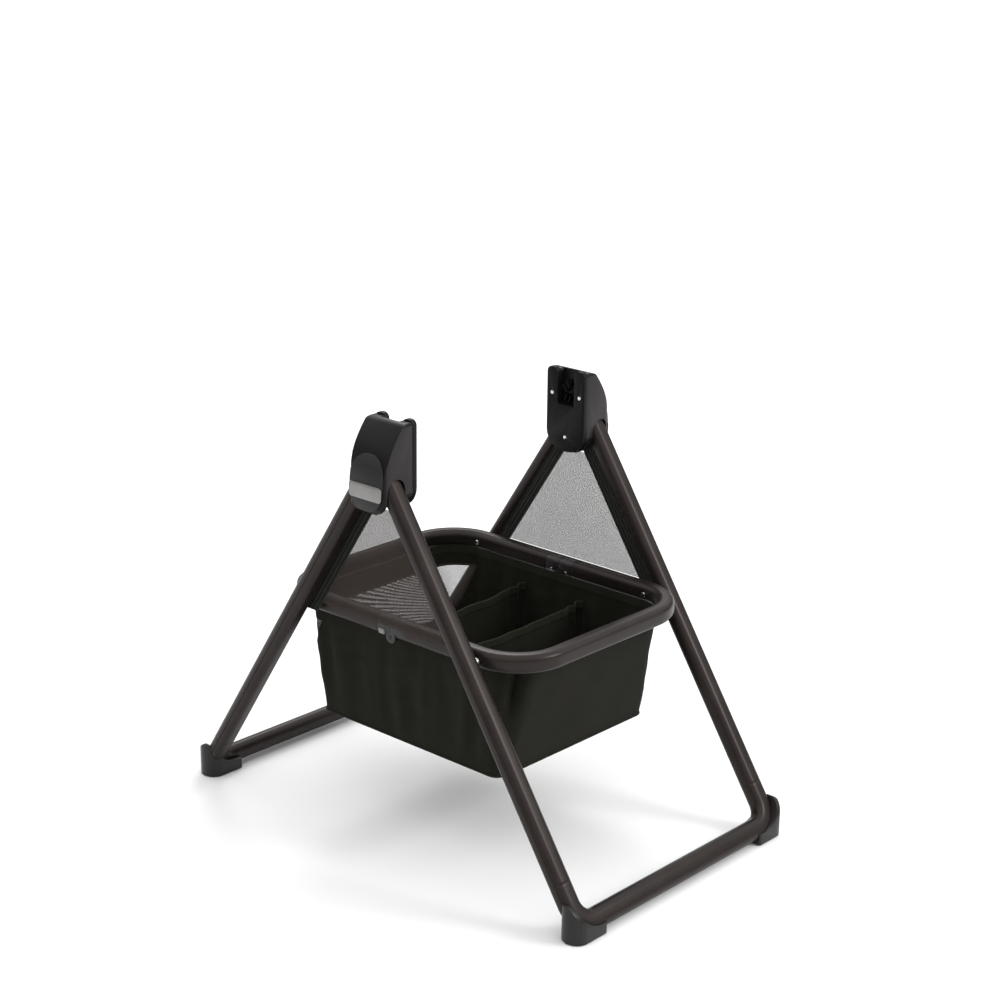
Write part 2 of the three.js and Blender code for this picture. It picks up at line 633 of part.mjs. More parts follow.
/** Closed loft between two heights of the basket. */
function basketLoft(z0, z1, inset) {
  const low = basketSection(z0, inset);
  const high = basketSection(z1, inset);
  low.pop();
  high.pop();
  const count = low.length;
  const positions = [];
  low.forEach((point) => positions.push(point.x, point.y, z0));
  high.forEach((point) => positions.push(point.x, point.y, z1));
  const index = [];
  for (let i = 0; i < count; i += 1) {
    const next = (i + 1) % count;
    index.push(i, next, count + next, i, count + next, count + i);
  }
  for (let i = 1; i < count - 1; i += 1) index.push(0, i + 1, i, count, count + i, count + i + 1);
  const geometry = new THREE.BufferGeometry();
  geometry.setAttribute('position', new THREE.BufferAttribute(new Float32Array(positions), 3));
  geometry.setIndex(index);
  return solid(geometry);
}

/** Thin walls and floor of the basket, open at the top. */
function basketShell() {
  const inside = basketLoft(BASKET_FLOOR_Z + BASKET_WALL, BASKET_TOP_Z + EPS, BASKET_WALL);
  return basketLoft(BASKET_FLOOR_Z, BASKET_TOP_Z, 0).subtract(inside);
}

const WINDOW_HALF = 170; // it wraps round both rear corners
const WINDOW_FLAT = 60; // half of its flat lower edge
const WINDOW_HEEL = 130; // how far the lower edge's curve reaches out
const WINDOW_LEAN = 8; // how far its ends lean in
const WINDOW_DROP = 58; // length of its ends
const WINDOW_Z = [213, 308];
const WINDOW_CUT_Y = [150, 260]; // the cutter crosses the rear wall only

/** D-shaped prism through the rear wall, for the mesh window; shrunk by an inset. */
function windowPrism(inset) {
  const shape = new THREE.Shape();
  const half = WINDOW_HALF - inset;
  const bottom = WINDOW_Z[0] + inset;
  const top = WINDOW_Z[1] - inset;
  const lean = half - WINDOW_LEAN;
  const shoulder = top - WINDOW_DROP;
  shape.moveTo(-half, top);
  shape.bezierCurveTo(-lean, shoulder, -WINDOW_HEEL, bottom, -WINDOW_FLAT, bottom);
  shape.lineTo(WINDOW_FLAT, bottom);
  shape.bezierCurveTo(WINDOW_HEEL, bottom, lean, shoulder, half, top);
  shape.closePath();
  return extrudeY(shape, ...WINDOW_CUT_Y, 8);
}

const DIVIDER_CLEAR = BASKET_WALL + EPS; // from the basket's outer face

/** Divider panel of the basket, across its width. */
function divider(y) {
  const lower = BASKET_FLOOR_X - DIVIDER_CLEAR;
  const share = (DIVIDER_TOP_Z - BASKET_FLOOR_Z) / (BASKET_TOP_Z - BASKET_FLOOR_Z);
  const upper = THREE.MathUtils.lerp(BASKET_FLOOR_X, BASKET_TOP_X, share) - DIVIDER_CLEAR;
  const shape = new THREE.Shape();
  shape.moveTo(-lower, BASKET_FLOOR_Z + DIVIDER_CLEAR);
  shape.lineTo(lower, BASKET_FLOOR_Z + DIVIDER_CLEAR);
  shape.lineTo(upper, DIVIDER_TOP_Z);
  shape.lineTo(-upper, DIVIDER_TOP_Z);
  shape.closePath();
  return extrudeY(shape, y - DIVIDER_THICK / 2, y + DIVIDER_THICK / 2);
}

/** Right side mesh, a tapered panel between the two legs. */
function sideMesh() {
  const legInner = (z) => BASE_Y - (z - BASE_Z) * Math.tan(LEG_TILT) - PANEL_TO_LEG / Math.cos(LEG_TILT);
  const [low, high] = PANEL_Z;
  const shape = new THREE.Shape();
  shape.moveTo(-legInner(low), low);
  shape.lineTo(legInner(low), low);
  shape.lineTo(legInner(high), high);
  shape.lineTo(-legInner(high), high);
  shape.closePath();
  return extrudeX(shape, PANEL_X - PANEL_THICK / 2, PANEL_X + PANEL_THICK / 2);
}

// ---------- assembly ----------
const stand = new THREE.Group();
stand.name = 'folding_stand';

/** Adds one solid to a group as a named mesh. */
function place(group, name, manifold, material) {
  const mesh = new THREE.Mesh(geometryOf(manifold), MATERIALS[material]);
  mesh.name = name;
  group.add(mesh);
}

/** A U-shaped leg frame: base bar, two legs, two feet. ySide is -1 at the front and 1 at the rear. */
function legFrame(label, ySide) {
  const group = new THREE.Group();
  place(group, `${label}_base_tube`, sided(baseTube(), 1, -ySide), 'tube');
  for (const xSide of MIRROR) {
    const side = xSide < 0 ? 'left' : 'right';
    place(group, `${label}_leg_${side}`, sided(legTube(), xSide, -ySide), 'tube');
    place(group, `${label}_foot_${side}`, sided(foot(), xSide, -ySide), 'plastic');
    place(group, `${label}_foot_pad_${side}`, sided(footPad(), xSide, -ySide), 'pad');
  }
  return group;
}

/** Half of the upper rim, with its bolts. */
function rimHalf(label, ySide) {
  const group = new THREE.Group();
  place(group, `rim_${label}_tube`, sided(rimTube(), 1, -ySide), 'tube');
  for (const xSide of MIRROR) {
    const side = xSide < 0 ? 'left' : 'right';
    place(group, `rim_${label}_bolt_${side}`, sided(rimBolt(), xSide, -ySide), 'steel');
  }
  return group;
}

/** Middle hinges of the rim, with their pins and release buttons. */
function rimHinges() {
  const group = new THREE.Group();
  for (const xSide of MIRROR) {
    const side = xSide < 0 ? 'left' : 'right';
    place(group, `rim_hinge_fork_${side}`, sided(hingeFork(), xSide), 'plastic');
    place(group, `rim_hinge_tongue_${side}`, sided(hingeTongue(), xSide), 'plastic');
    place(group, `rim_hinge_pin_${side}`, sided(hingePin(), xSide), 'steel');
    place(group, `release_button_${side}`, sided(releaseButton(), xSide), 'badge');
  }
  return group;
}

/** One head: housing, receiver plate, cap, badge, screws and the hinge pins of its two legs. */
function head(xSide) {
  const side = xSide < 0 ? 'left' : 'right';
  const group = new THREE.Group();
  place(group, `head_shell_${side}`, sided(headShell(), xSide), 'plastic');
  place(group, `head_plate_${side}`, sided(headPlate(), xSide), 'plastic');
  place(group, `hub_cap_${side}`, sided(hubCap(), xSide), 'cap');
  place(group, `badge_${side}`, sided(badge(), xSide), 'badge');
  for (const screw of PLATE_SCREWS) {
    place(group, `plate_screw_${screw.name}_${side}`, sided(plateScrew(screw), xSide), 'steel');
  }
  for (const [label, ySide] of [['front', -1], ['rear', 1]]) {
    place(group, `leg_pin_${label}_${side}`, sided(legPin(), xSide, -ySide), 'steel');
  }
  return group;
}

/** Storage basket, its mesh window, its dividers and the side mesh panels. */
function softParts() {
  const group = new THREE.Group();
  place(group, 'basket', basketShell().subtract(windowPrism(0)), 'fabric');
  place(group, 'basket_window', basketShell().intersect(windowPrism(GAP)), 'mesh');
  DIVIDER_Y.forEach((y, i) => place(group, `basket_divider_${i + 1}`, divider(y), 'fabric'));
  for (const xSide of MIRROR) {
    place(group, `side_mesh_${xSide < 0 ? 'left' : 'right'}`, sided(sideMesh(), xSide), 'mesh');
  }
  return group;
}

stand.add(legFrame('front', -1));
stand.add(legFrame('rear', 1));
stand.add(rimHalf('front', -1));
stand.add(rimHalf('rear', 1));
stand.add(rimHinges());
stand.add(head(-1));
stand.add(head(1));
stand.add(softParts());

export default stand;
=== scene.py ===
"""Folding stand for a baby carrycot: smooth tubes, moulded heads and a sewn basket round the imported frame.

Metres, +Z up. X runs from the left head to the right head, and -Y is the front.
"""

import logging
import math
from dataclasses import dataclass, field
from enum import Enum
from typing import Callable, Iterable, Optional, Sequence

import bmesh
import bpy
from mathutils import Matrix, Vector, noise


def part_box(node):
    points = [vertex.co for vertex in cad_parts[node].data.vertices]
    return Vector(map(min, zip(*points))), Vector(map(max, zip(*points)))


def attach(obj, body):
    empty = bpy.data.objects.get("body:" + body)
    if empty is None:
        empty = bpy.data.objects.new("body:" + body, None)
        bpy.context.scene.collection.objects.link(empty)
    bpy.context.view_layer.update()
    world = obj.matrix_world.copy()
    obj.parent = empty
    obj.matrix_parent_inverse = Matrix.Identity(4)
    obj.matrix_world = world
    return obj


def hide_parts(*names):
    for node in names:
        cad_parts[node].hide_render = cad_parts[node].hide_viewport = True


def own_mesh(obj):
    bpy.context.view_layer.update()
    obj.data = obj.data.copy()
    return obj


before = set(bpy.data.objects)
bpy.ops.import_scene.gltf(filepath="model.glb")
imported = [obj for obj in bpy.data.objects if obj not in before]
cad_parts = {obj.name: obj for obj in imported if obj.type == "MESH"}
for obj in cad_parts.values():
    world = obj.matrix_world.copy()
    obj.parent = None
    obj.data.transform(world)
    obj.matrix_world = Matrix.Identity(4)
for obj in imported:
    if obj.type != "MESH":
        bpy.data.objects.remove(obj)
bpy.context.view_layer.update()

LOG = logging.getLogger("carrycot_stand")
MM = 0.001
QUARTER = math.pi / 2
Point = tuple[float, float, float]
Colour = tuple[float, float, float, float]


class Side(Enum):
    """Left or right half of the stand, as the sign of X."""

    LEFT = -1
    RIGHT = 1

    @property
    def label(self) -> str:
        """Name of the side in lower case."""
        return self.name.lower()


class End(Enum):
    """Front or rear half of the stand, as the sign of Y."""

    FRONT = -1
    REAR = 1

    @property
    def label(self) -> str:
        """Name of the end in lower case."""
        return self.name.lower()


class Join(Enum):
    """How a second solid changes a first one."""

    CUT = "DIFFERENCE"
    KEEP_SHARED = "INTERSECT"


# ---------------------------------------------------------------- finishes


class Recipe:
    """Wires the nodes of one material."""

    def __init__(self, name: str) -> None:
        """Starts an empty material.

        Args:
            name: the material's name.
        """
        self.material = bpy.data.materials.new(name)
        self.material.use_nodes = True
        self.tree = self.material.node_tree
        self.shader = self.tree.nodes["Principled BSDF"]

    def node(
        self, kind: str, links: Optional[dict] = None, values: Optional[dict] = None, **settings
    ) -> bpy.types.Node:
        """Adds a node.

        Args:
            kind: the node's type.
            links: for each input, the output socket that feeds it.
            values: for each input, its plain value.
            settings: the node's own settings.

        Returns:
            The new node.
        """
        made = self.tree.nodes.new(kind)
        for key, value in settings.items():
            setattr(made, key, value)
        for key, value in (values or {}).items():
            made.inputs[key].default_value = value
        for key, socket in (links or {}).items():
            self.tree.links.new(socket, made.inputs[key])
        return made

    def place(self, along_surface: bool = False) -> bpy.types.NodeSocket:
        """The pattern's coordinates: the cloth's own map in metres, or the object's."""
        return self.node("ShaderNodeTexCoord").outputs["UV" if along_surface else "Object"]

    def stretched(self, place: bpy.types.NodeSocket, scale: Point) -> bpy.types.NodeSocket:
        """Scales coordinates by a factor for each axis."""
        mapping = self.node("ShaderNodeMapping", {"Vector": place}, {"Scale": scale})
        return mapping.outputs["Vector"]

    def cloud(self, place: bpy.types.NodeSocket, scale: float, detail: float = 3.0) -> bpy.types.NodeSocket:
        """Soft random pattern from 0 to 1."""
        values = {"Scale": scale, "Detail": detail}
        return self.node("ShaderNodeTexNoise", {"Vector": place}, values).outputs["Fac"]

    def spread(self, share: bpy.types.NodeSocket, low: float, high: float) -> bpy.types.NodeSocket:
        """Maps a share from 0 to 1 on to a range."""
        values = {"To Min": low, "To Max": high}
        return self.node("ShaderNodeMapRange", {"Value": share}, values).outputs["Result"]

    def math(self, operation: str, first, second=None) -> bpy.types.NodeSocket:
        """One sum on two sockets or numbers."""
        made = self.tree.nodes.new("ShaderNodeMath")
        made.operation = operation
        for slot, value in enumerate((first, second)):
            if isinstance(value, bpy.types.NodeSocket):
                self.tree.links.new(value, made.inputs[slot])
            elif value is not None:
                made.inputs[slot].default_value = value
        return made.outputs[0]

    def blend(self, share: bpy.types.NodeSocket, first: Colour, second: Colour) -> bpy.types.NodeSocket:
        """Mixes two colours by a share."""
        mix = self.node("ShaderNodeMix", data_type="RGBA")
        self.tree.links.new(share, mix.inputs[0])
        mix.inputs[6].default_value = first
        mix.inputs[7].default_value = second
        return mix.outputs[2]

    def feed(self, name: str, value) -> None:
        """Sets or links one socket of the shader."""
        if isinstance(value, bpy.types.NodeSocket):
            self.tree.links.new(value, self.shader.inputs[name])
        else:
            self.shader.inputs[name].default_value = value

    def relief(self, height: bpy.types.NodeSocket, depth: float, strength: float) -> None:
        """Raises the surface by a height pattern, as deep as depth in metres."""
        values = {"Strength": strength, "Distance": depth}
        self.feed("Normal", self.node("ShaderNodeBump", {"Height": height}, values).outputs["Normal"])


@dataclass(frozen=True)
class Coat:
    """Painted, moulded or bare surface with a fine grain and a soft change of tone."""

    name: str
    dark: Colour
    light: Colour
    roughness: float
    metallic: float = 0.0
    grain_scale: float = 1400.0
    grain_depth: float = 0.00004
    grain_strength: float = 0.25
    tone_scale: float = 22.0
    coat: float = 0.0
    specular: float = 0.5
    brushed: Point = (1.0, 1.0, 1.0)

    def build(self) -> bpy.types.Material:
        """Makes the material.

        Returns:
            The finished material.
        """
        recipe = Recipe(self.name)
        place = recipe.place()
        tone = recipe.cloud(place, self.tone_scale)
        recipe.feed("Base Color", recipe.blend(recipe.spread(tone, -0.4, 1.4), self.dark, self.light))
        grain = recipe.cloud(recipe.stretched(place, self.brushed), self.grain_scale, 2.0)
        wear = recipe.math("ADD", recipe.math("MULTIPLY", tone, 0.6), recipe.math("MULTIPLY", grain, 0.4))
        recipe.feed("Roughness", recipe.spread(wear, self.roughness - 0.09, self.roughness + 0.09))
        recipe.feed("Metallic", self.metallic)
        recipe.feed("Specular IOR Level", self.specular)
        recipe.feed("Coat Weight", self.coat)
        recipe.feed("Coat Roughness", 0.25)
        recipe.relief(grain, self.grain_depth, self.grain_strength)
        return recipe.material


@dataclass(frozen=True)
class WovenCloth:
    """Plain-woven cloth: yarns both ways along the cloth's own map, faint slubs and a soft sheen."""

    name: str
    dark: Colour
    light: Colour
    yarn: float = 0.0008
    roughness: float = 0.85
    sheen: float = 0.02

    def build(self) -> bpy.types.Material:
        """Makes the material.

        Returns:
            The finished material.
        """
        recipe = Recipe(self.name)
        place = recipe.place(along_surface=True)
        axes = recipe.node("ShaderNodeSeparateXYZ", {"Vector": place})
        wave = [
            recipe.math("SINE", recipe.math("MULTIPLY", axes.outputs[axis], 2 * math.pi / self.yarn))
            for axis in ("X", "Y")
        ]
        weave = recipe.math("MULTIPLY", wave[0], wave[1])
        slub = recipe.cloud(recipe.stretched(place, (30.0, 260.0, 1.0)), 1.0, 4.0)
        patch = recipe.cloud(recipe.place(), 14.0, 4.0)
        tone = recipe.math("ADD", recipe.math("MULTIPLY", slub, 0.5), recipe.math("MULTIPLY", patch, 0.5))
        shade = recipe.math("ADD", tone, recipe.math("MULTIPLY", weave, 0.12))
        recipe.feed("Base Color", recipe.blend(recipe.spread(shade, -0.5, 1.5), self.dark, self.light))
        recipe.feed("Roughness", recipe.spread(slub, self.roughness - 0.08, self.roughness + 0.08))
        recipe.feed("Sheen Weight", self.sheen)
        recipe.feed("Sheen Roughness", 0.5)
        recipe.feed("Specular IOR Level", 0.08)
        recipe.relief(recipe.math("ADD", weave, recipe.math("MULTIPLY", slub, 1.5)), self.yarn / 6, 0.5)
        return recipe.material


@dataclass(frozen=True)
class OpenNet:
    """Knitted net with rows of small round holes that are really open."""

    name: str
    colour: Colour
    light: Colour
    pitch: float = 0.0030
    hole: float = 0.44

    def build(self) -> bpy.types.Material:
        """Makes the material.

        Returns:
            The finished material.
        """
        recipe = Recipe(self.name)
        place = recipe.place(along_surface=True)
        axes = recipe.node("ShaderNodeSeparateXYZ", {"Vector": place})
        turns = 2 * math.pi / self.pitch
        across = recipe.math("SINE", recipe.math("MULTIPLY", axes.outputs["X"], turns))
        along = recipe.math("SINE", recipe.math("MULTIPLY", axes.outputs["Y"], turns))
        lattice = recipe.math("MULTIPLY", across, along)
        recipe.feed("Alpha", recipe.math("LESS_THAN", recipe.math("ABSOLUTE", lattice), self.hole))
        patch = recipe.cloud(recipe.place(), 30.0)
        recipe.feed("Base Color", recipe.blend(patch, self.colour, self.light))
        recipe.feed("Roughness", recipe.spread(patch, 0.65, 0.85))
        recipe.feed("Specular IOR Level", 0.2)
        recipe.relief(lattice, self.pitch / 12, 0.6)
        return recipe.material


@dataclass(frozen=True)
class RibbedTape:
    """Woven tape with fine twill and ribs along it: two dark channels between light lines of thread."""

    name: str
    dark: Colour
    light: Colour
    ribs: int = 3
    twill: float = 0.0014
    stitch: float = 0.0030

    def build(self) -> bpy.types.Material:
        """Makes the material.

        Returns:
            The finished material.
        """
        recipe = Recipe(self.name)
        axes = recipe.node("ShaderNodeSeparateXYZ", {"Vector": recipe.place(along_surface=True)})
        across, along = axes.outputs["X"], axes.outputs["Y"]
        wave = recipe.math("COSINE", recipe.math("MULTIPLY", across, 2 * math.pi * self.ribs))
        slant = recipe.math("ADD", recipe.math("MULTIPLY", across, 0.02), along)
        twill = recipe.math("SINE", recipe.math("MULTIPLY", slant, 2 * math.pi / self.twill))
        dash = recipe.math("SINE", recipe.math("MULTIPLY", along, 2 * math.pi / self.stitch))
        crest = recipe.math("GREATER_THAN", wave, 0.86)
        thread = recipe.math("MULTIPLY", crest, recipe.math("GREATER_THAN", dash, -0.5))
        recipe.feed("Base Color", recipe.blend(thread, self.dark, self.light))
        recipe.feed("Roughness", recipe.spread(twill, 0.7, 0.9))
        recipe.feed("Specular IOR Level", 0.2)
        recipe.relief(recipe.math("ADD", recipe.math("MULTIPLY", wave, 2.0), twill), 0.0003, 0.7)
        return recipe.material


def grey(red: float, green: float, blue: float) -> Colour:
    """Opaque colour from three linear shares."""
    return (red, green, blue, 1.0)


FINISHES = (
    Coat(
        "frame_tube", grey(0.022, 0.0172, 0.0155), grey(0.030, 0.024, 0.022), 0.36,
        metallic=0.5, specular=0.25,
    ),
    Coat("head_housing", grey(0.0050, 0.0045, 0.0045), grey(0.0080, 0.0072, 0.0072), 0.36, specular=0.15),
    Coat("head_side_wall", grey(0.014, 0.012, 0.0115), grey(0.018, 0.0155, 0.015), 0.42, specular=0.25),
    Coat("receiver_plate", grey(0.0055, 0.0055, 0.0055), grey(0.0085, 0.0080, 0.0080), 0.45, specular=0.12),
    Coat("hub_cap", grey(0.0080, 0.0073, 0.0073), grey(0.0108, 0.0095, 0.0095), 0.50, specular=0.35),
    Coat(
        "badge", grey(0.22, 0.215, 0.21), grey(0.28, 0.275, 0.27), 0.38,
        metallic=0.85, brushed=(1.0, 0.2, 2.0),
    ),
    Coat("fastener_steel", grey(0.60, 0.59, 0.57), grey(0.72, 0.71, 0.69), 0.24, metallic=1.0),
    Coat("hinge_plastic", grey(0.0135, 0.0115, 0.011), grey(0.018, 0.0155, 0.015), 0.40, specular=0.4),
    Coat("hinge_pin", grey(0.020, 0.019, 0.019), grey(0.030, 0.028, 0.028), 0.42, metallic=0.6),
    Coat("release_button", grey(0.16, 0.16, 0.16), grey(0.21, 0.21, 0.21), 0.45),
    Coat("foot_shell", grey(0.012, 0.0105, 0.010), grey(0.016, 0.014, 0.0135), 0.33, specular=0.3),
    Coat("foot_pad", grey(0.012, 0.012, 0.012), grey(0.018, 0.018, 0.018), 0.85, grain_strength=0.5),
    WovenCloth("basket_fabric", grey(0.0100, 0.0098, 0.0066), grey(0.0145, 0.0140, 0.0098)),
    WovenCloth("basket_trim", grey(0.014, 0.014, 0.010), grey(0.020, 0.020, 0.014), yarn=0.0012),
    OpenNet("mesh_fabric", grey(0.040, 0.030, 0.025), grey(0.052, 0.040, 0.034)),
    RibbedTape("edge_tape", grey(0.009, 0.010, 0.008), grey(0.052, 0.054, 0.046)),
)


class Palette:
    """Every finish of the stand, by name."""

    def __init__(self, finishes: Iterable) -> None:
        """Builds the materials.

        Args:
            finishes: the finishes to build.
        """
        self.materials = {finish.name: finish.build() for finish in finishes}

    def dress(self, piece: bpy.types.Object, finish: str) -> None:
        """Gives a piece one finish in all its slots."""
        piece.data.materials.clear()
        piece.data.materials.append(self.materials[finish])


# ---------------------------------------------------------------- making meshes


class Bench:
    """Tools that turn bmesh work into finished pieces."""

    smooth_angle: float = math.radians(32)

    @staticmethod
    def piece(name: str, bm: bmesh.types.BMesh, recalculate: bool = True) -> bpy.types.Object:
        """Turns a bmesh into an object at the origin, with doubles merged and smooth shading.

        Args:
            name: the piece's name.
            bm: the mesh; it is freed.
            recalculate: whether the faces are turned outwards.

        Returns:
            The new object.
        """
        bmesh.ops.remove_doubles(bm, verts=bm.verts, dist=1e-6)
        if recalculate:
            bmesh.ops.recalc_face_normals(bm, faces=bm.faces)
        mesh = bpy.data.meshes.new(name)
        bm.to_mesh(mesh)
        bm.free()
        made = bpy.data.objects.new(name, mesh)
        bpy.context.scene.collection.objects.link(made)
        Bench.smooth(made)
        return made

    @staticmethod
    def smooth(piece: bpy.types.Object) -> None:
        """Shades a piece smoothly, apart from its sharp edges."""
        piece.data.shade_smooth()
        piece.data.set_sharp_from_angle(angle=Bench.smooth_angle)

    @staticmethod
    def settle(piece: bpy.types.Object) -> bpy.types.Object:
        """Makes a piece's modifiers part of its mesh."""
        graph = bpy.context.evaluated_depsgraph_get()
        graph.update()
        mesh = bpy.data.meshes.new_from_object(piece.evaluated_get(graph))
        piece.modifiers.clear()
        old, piece.data = piece.data, mesh
        bpy.data.meshes.remove(old)
        mesh.name = piece.name
        return piece

    @staticmethod
    def shape(piece: bpy.types.Object, tool: bpy.types.Object, join: Join) -> bpy.types.Object:
        """Cuts a piece with a tool solid, or keeps what they share, and throws the tool away."""
        modifier = piece.modifiers.new("shape", "BOOLEAN")
        modifier.operation = join.value
        modifier.object = tool
        modifier.solver = "EXACT"
        Bench.settle(piece)
        bpy.data.objects.remove(tool)
        return piece

    @staticmethod
    def round_edges(piece: bpy.types.Object, width: float, segments: int = 2) -> bpy.types.Object:
        """Rounds a piece's sharp edges."""
        modifier = piece.modifiers.new("rounded", "BEVEL")
        modifier.width = width
        modifier.segments = segments
        modifier.limit_method = "ANGLE"
        modifier.angle_limit = math.radians(34)
        modifier.use_clamp_overlap = True
        Bench.settle(piece)
        Bench.smooth(piece)
        return piece

    @staticmethod
    def thicken(piece: bpy.types.Object, thickness: float, offset: float = -1.0) -> bpy.types.Object:
        """Gives a sheet its thickness."""
        modifier = piece.modifiers.new("thickness", "SOLIDIFY")
        modifier.thickness = thickness
        modifier.offset = offset
        return Bench.settle(piece)

    @staticmethod
    def prism(outline: Sequence[Vector], travel: Vector) -> bmesh.types.BMesh:
        """Solid from a flat outline that is extruded along a travel."""
        bm = bmesh.new()
        face = bm.faces.new([bm.verts.new(point) for point in outline])
        grown = bmesh.ops.extrude_face_region(bm, geom=[face])["geom"]
        corners = [item for item in grown if isinstance(item, bmesh.types.BMVert)]
        bmesh.ops.translate(bm, verts=corners, vec=travel)
        return bm

    @staticmethod
    def cad_copy(name: str, node: str) -> bpy.types.Object:
        """Copy of a CAD node as one joined mesh, to be finished further."""
        bm = bmesh.new()
        bm.from_mesh(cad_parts[node].data)
        bmesh.ops.remove_doubles(bm, verts=bm.verts, dist=2e-5)
        flat = math.radians(1.0)
        bmesh.ops.dissolve_limit(bm, angle_limit=flat, verts=bm.verts, edges=bm.edges)
        return Bench.piece(name, bm)

    @staticmethod
    def cloth(
        name: str, columns: int, rows: int, size: tuple[float, float], place: Callable[[float, float], Vector]
    ) -> bpy.types.Object:
        """Cloth from a grid whose points a function puts in place; its map is in metres.

        Args:
            name: the piece's name.
            columns: faces across.
            rows: faces along.
            size: flat size of the cloth, in metres.
            place: from two shares, across and along, to a point.

        Returns:
            The new object.
        """
        bm = bmesh.new()
        bmesh.ops.create_grid(bm, x_segments=columns, y_segments=rows, size=0.5, calc_uvs=False)
        chart = bm.loops.layers.uv.new("cloth")
        for face in bm.faces:
            for loop in face.loops:
                share = loop.vert.co
                loop[chart].uv = ((share.x + 0.5) * size[0], (share.y + 0.5) * size[1])
        for vert in bm.verts:
            vert.co = place(vert.co.x + 0.5, vert.co.y + 0.5)
        return Bench.piece(name, bm, recalculate=False)

    @staticmethod
    def cord_edge(name: str, points: Sequence[Vector], radius: float, closed: bool) -> bpy.types.Object:
        """Round piping or thread along a line of points."""
        curve = bpy.data.curves.new(name, "CURVE")
        curve.dimensions = "3D"
        curve.bevel_depth = radius
        curve.bevel_resolution = 3
        curve.use_fill_caps = not closed
        line = curve.splines.new("POLY")
        line.points.add(len(points) - 1)
        for spot, point in zip(line.points, points):
            spot.co = (*point, 1.0)
        line.use_cyclic_u = closed
        drawn = bpy.data.objects.new(name + "_line", curve)
        bpy.context.scene.collection.objects.link(drawn)
        graph = bpy.context.evaluated_depsgraph_get()
        mesh = bpy.data.meshes.new_from_object(drawn.evaluated_get(graph))
        bpy.data.objects.remove(drawn)
        made = bpy.data.objects.new(name, mesh)
        bpy.context.scene.collection.objects.link(made)
        made.data.shade_smooth()
        return made


@dataclass(frozen=True)
class TubeSection:
    """Rounded section of a tube, with one groove pressed along it."""

    wide: float
    deep: float
    corner: float
    groove_at: float = 0.0
    groove_width: float = 0.0022
    groove_depth: float = 0.0010
    groove_on_top: bool = False
    corner_steps: int = 9

    def outline(self) -> list[tuple[float, float]]:
        """Points of the section.

        Returns:
            Pairs of outward and upward distance from the tube's centre-line.
        """
        out, up = self.wide / 2 - self.corner, self.deep / 2 - self.corner
        points = []
        for quarter, (sign_out, sign_up) in enumerate(((1, 1), (-1, 1), (-1, -1), (1, -1))):
            for step in range(self.corner_steps + 1):
                angle = (quarter + step / self.corner_steps) * QUARTER
                points.append((
                    sign_out * out + self.corner * math.cos(angle),
                    sign_up * up + self.corner * math.sin(angle),
                ))
        return self._grooved(points) if self.groove_depth else points

    def _grooved(self, points: list[tuple[float, float]]) -> list[tuple[float, float]]:
        """Presses the groove into an outline."""
        along, across = (0, 1) if self.groove_on_top else (1, 0)
        marks = [self.groove_at + share * self.groove_width / 2 for share in (-1.0, -0.5, 0.5, 1.0)]
        cut = []
        for first, second in zip(points, points[1:] + points[:1]):
            cut.append(first)
            crossings = []
            for mark in marks:
                span = second[along] - first[along]
                share = (mark - first[along]) / span if abs(span) > 1e-9 else -1.0
                if 1e-6 < share < 1 - 1e-6 and first[across] > 0:
                    crossings.append(share)
            for share in sorted(crossings):
                cut.append(tuple(a + (b - a) * share for a, b in zip(first, second)))
        pressed = []
        for point in cut:
            inside = abs(point[along] - self.groove_at) < 0.3 * self.groove_width and point[across] > 0
            drop = self.groove_depth if inside else 0.0
            pressed.append((point[0] - drop, point[1]) if across == 0 else (point[0], point[1] - drop))
        return pressed

    def grown(self, gap: float) -> "TubeSection":
        """The plain section, larger by a gap all round."""
        return TubeSection(self.wide + 2 * gap, self.deep + 2 * gap, self.corner + gap, groove_depth=0.0)


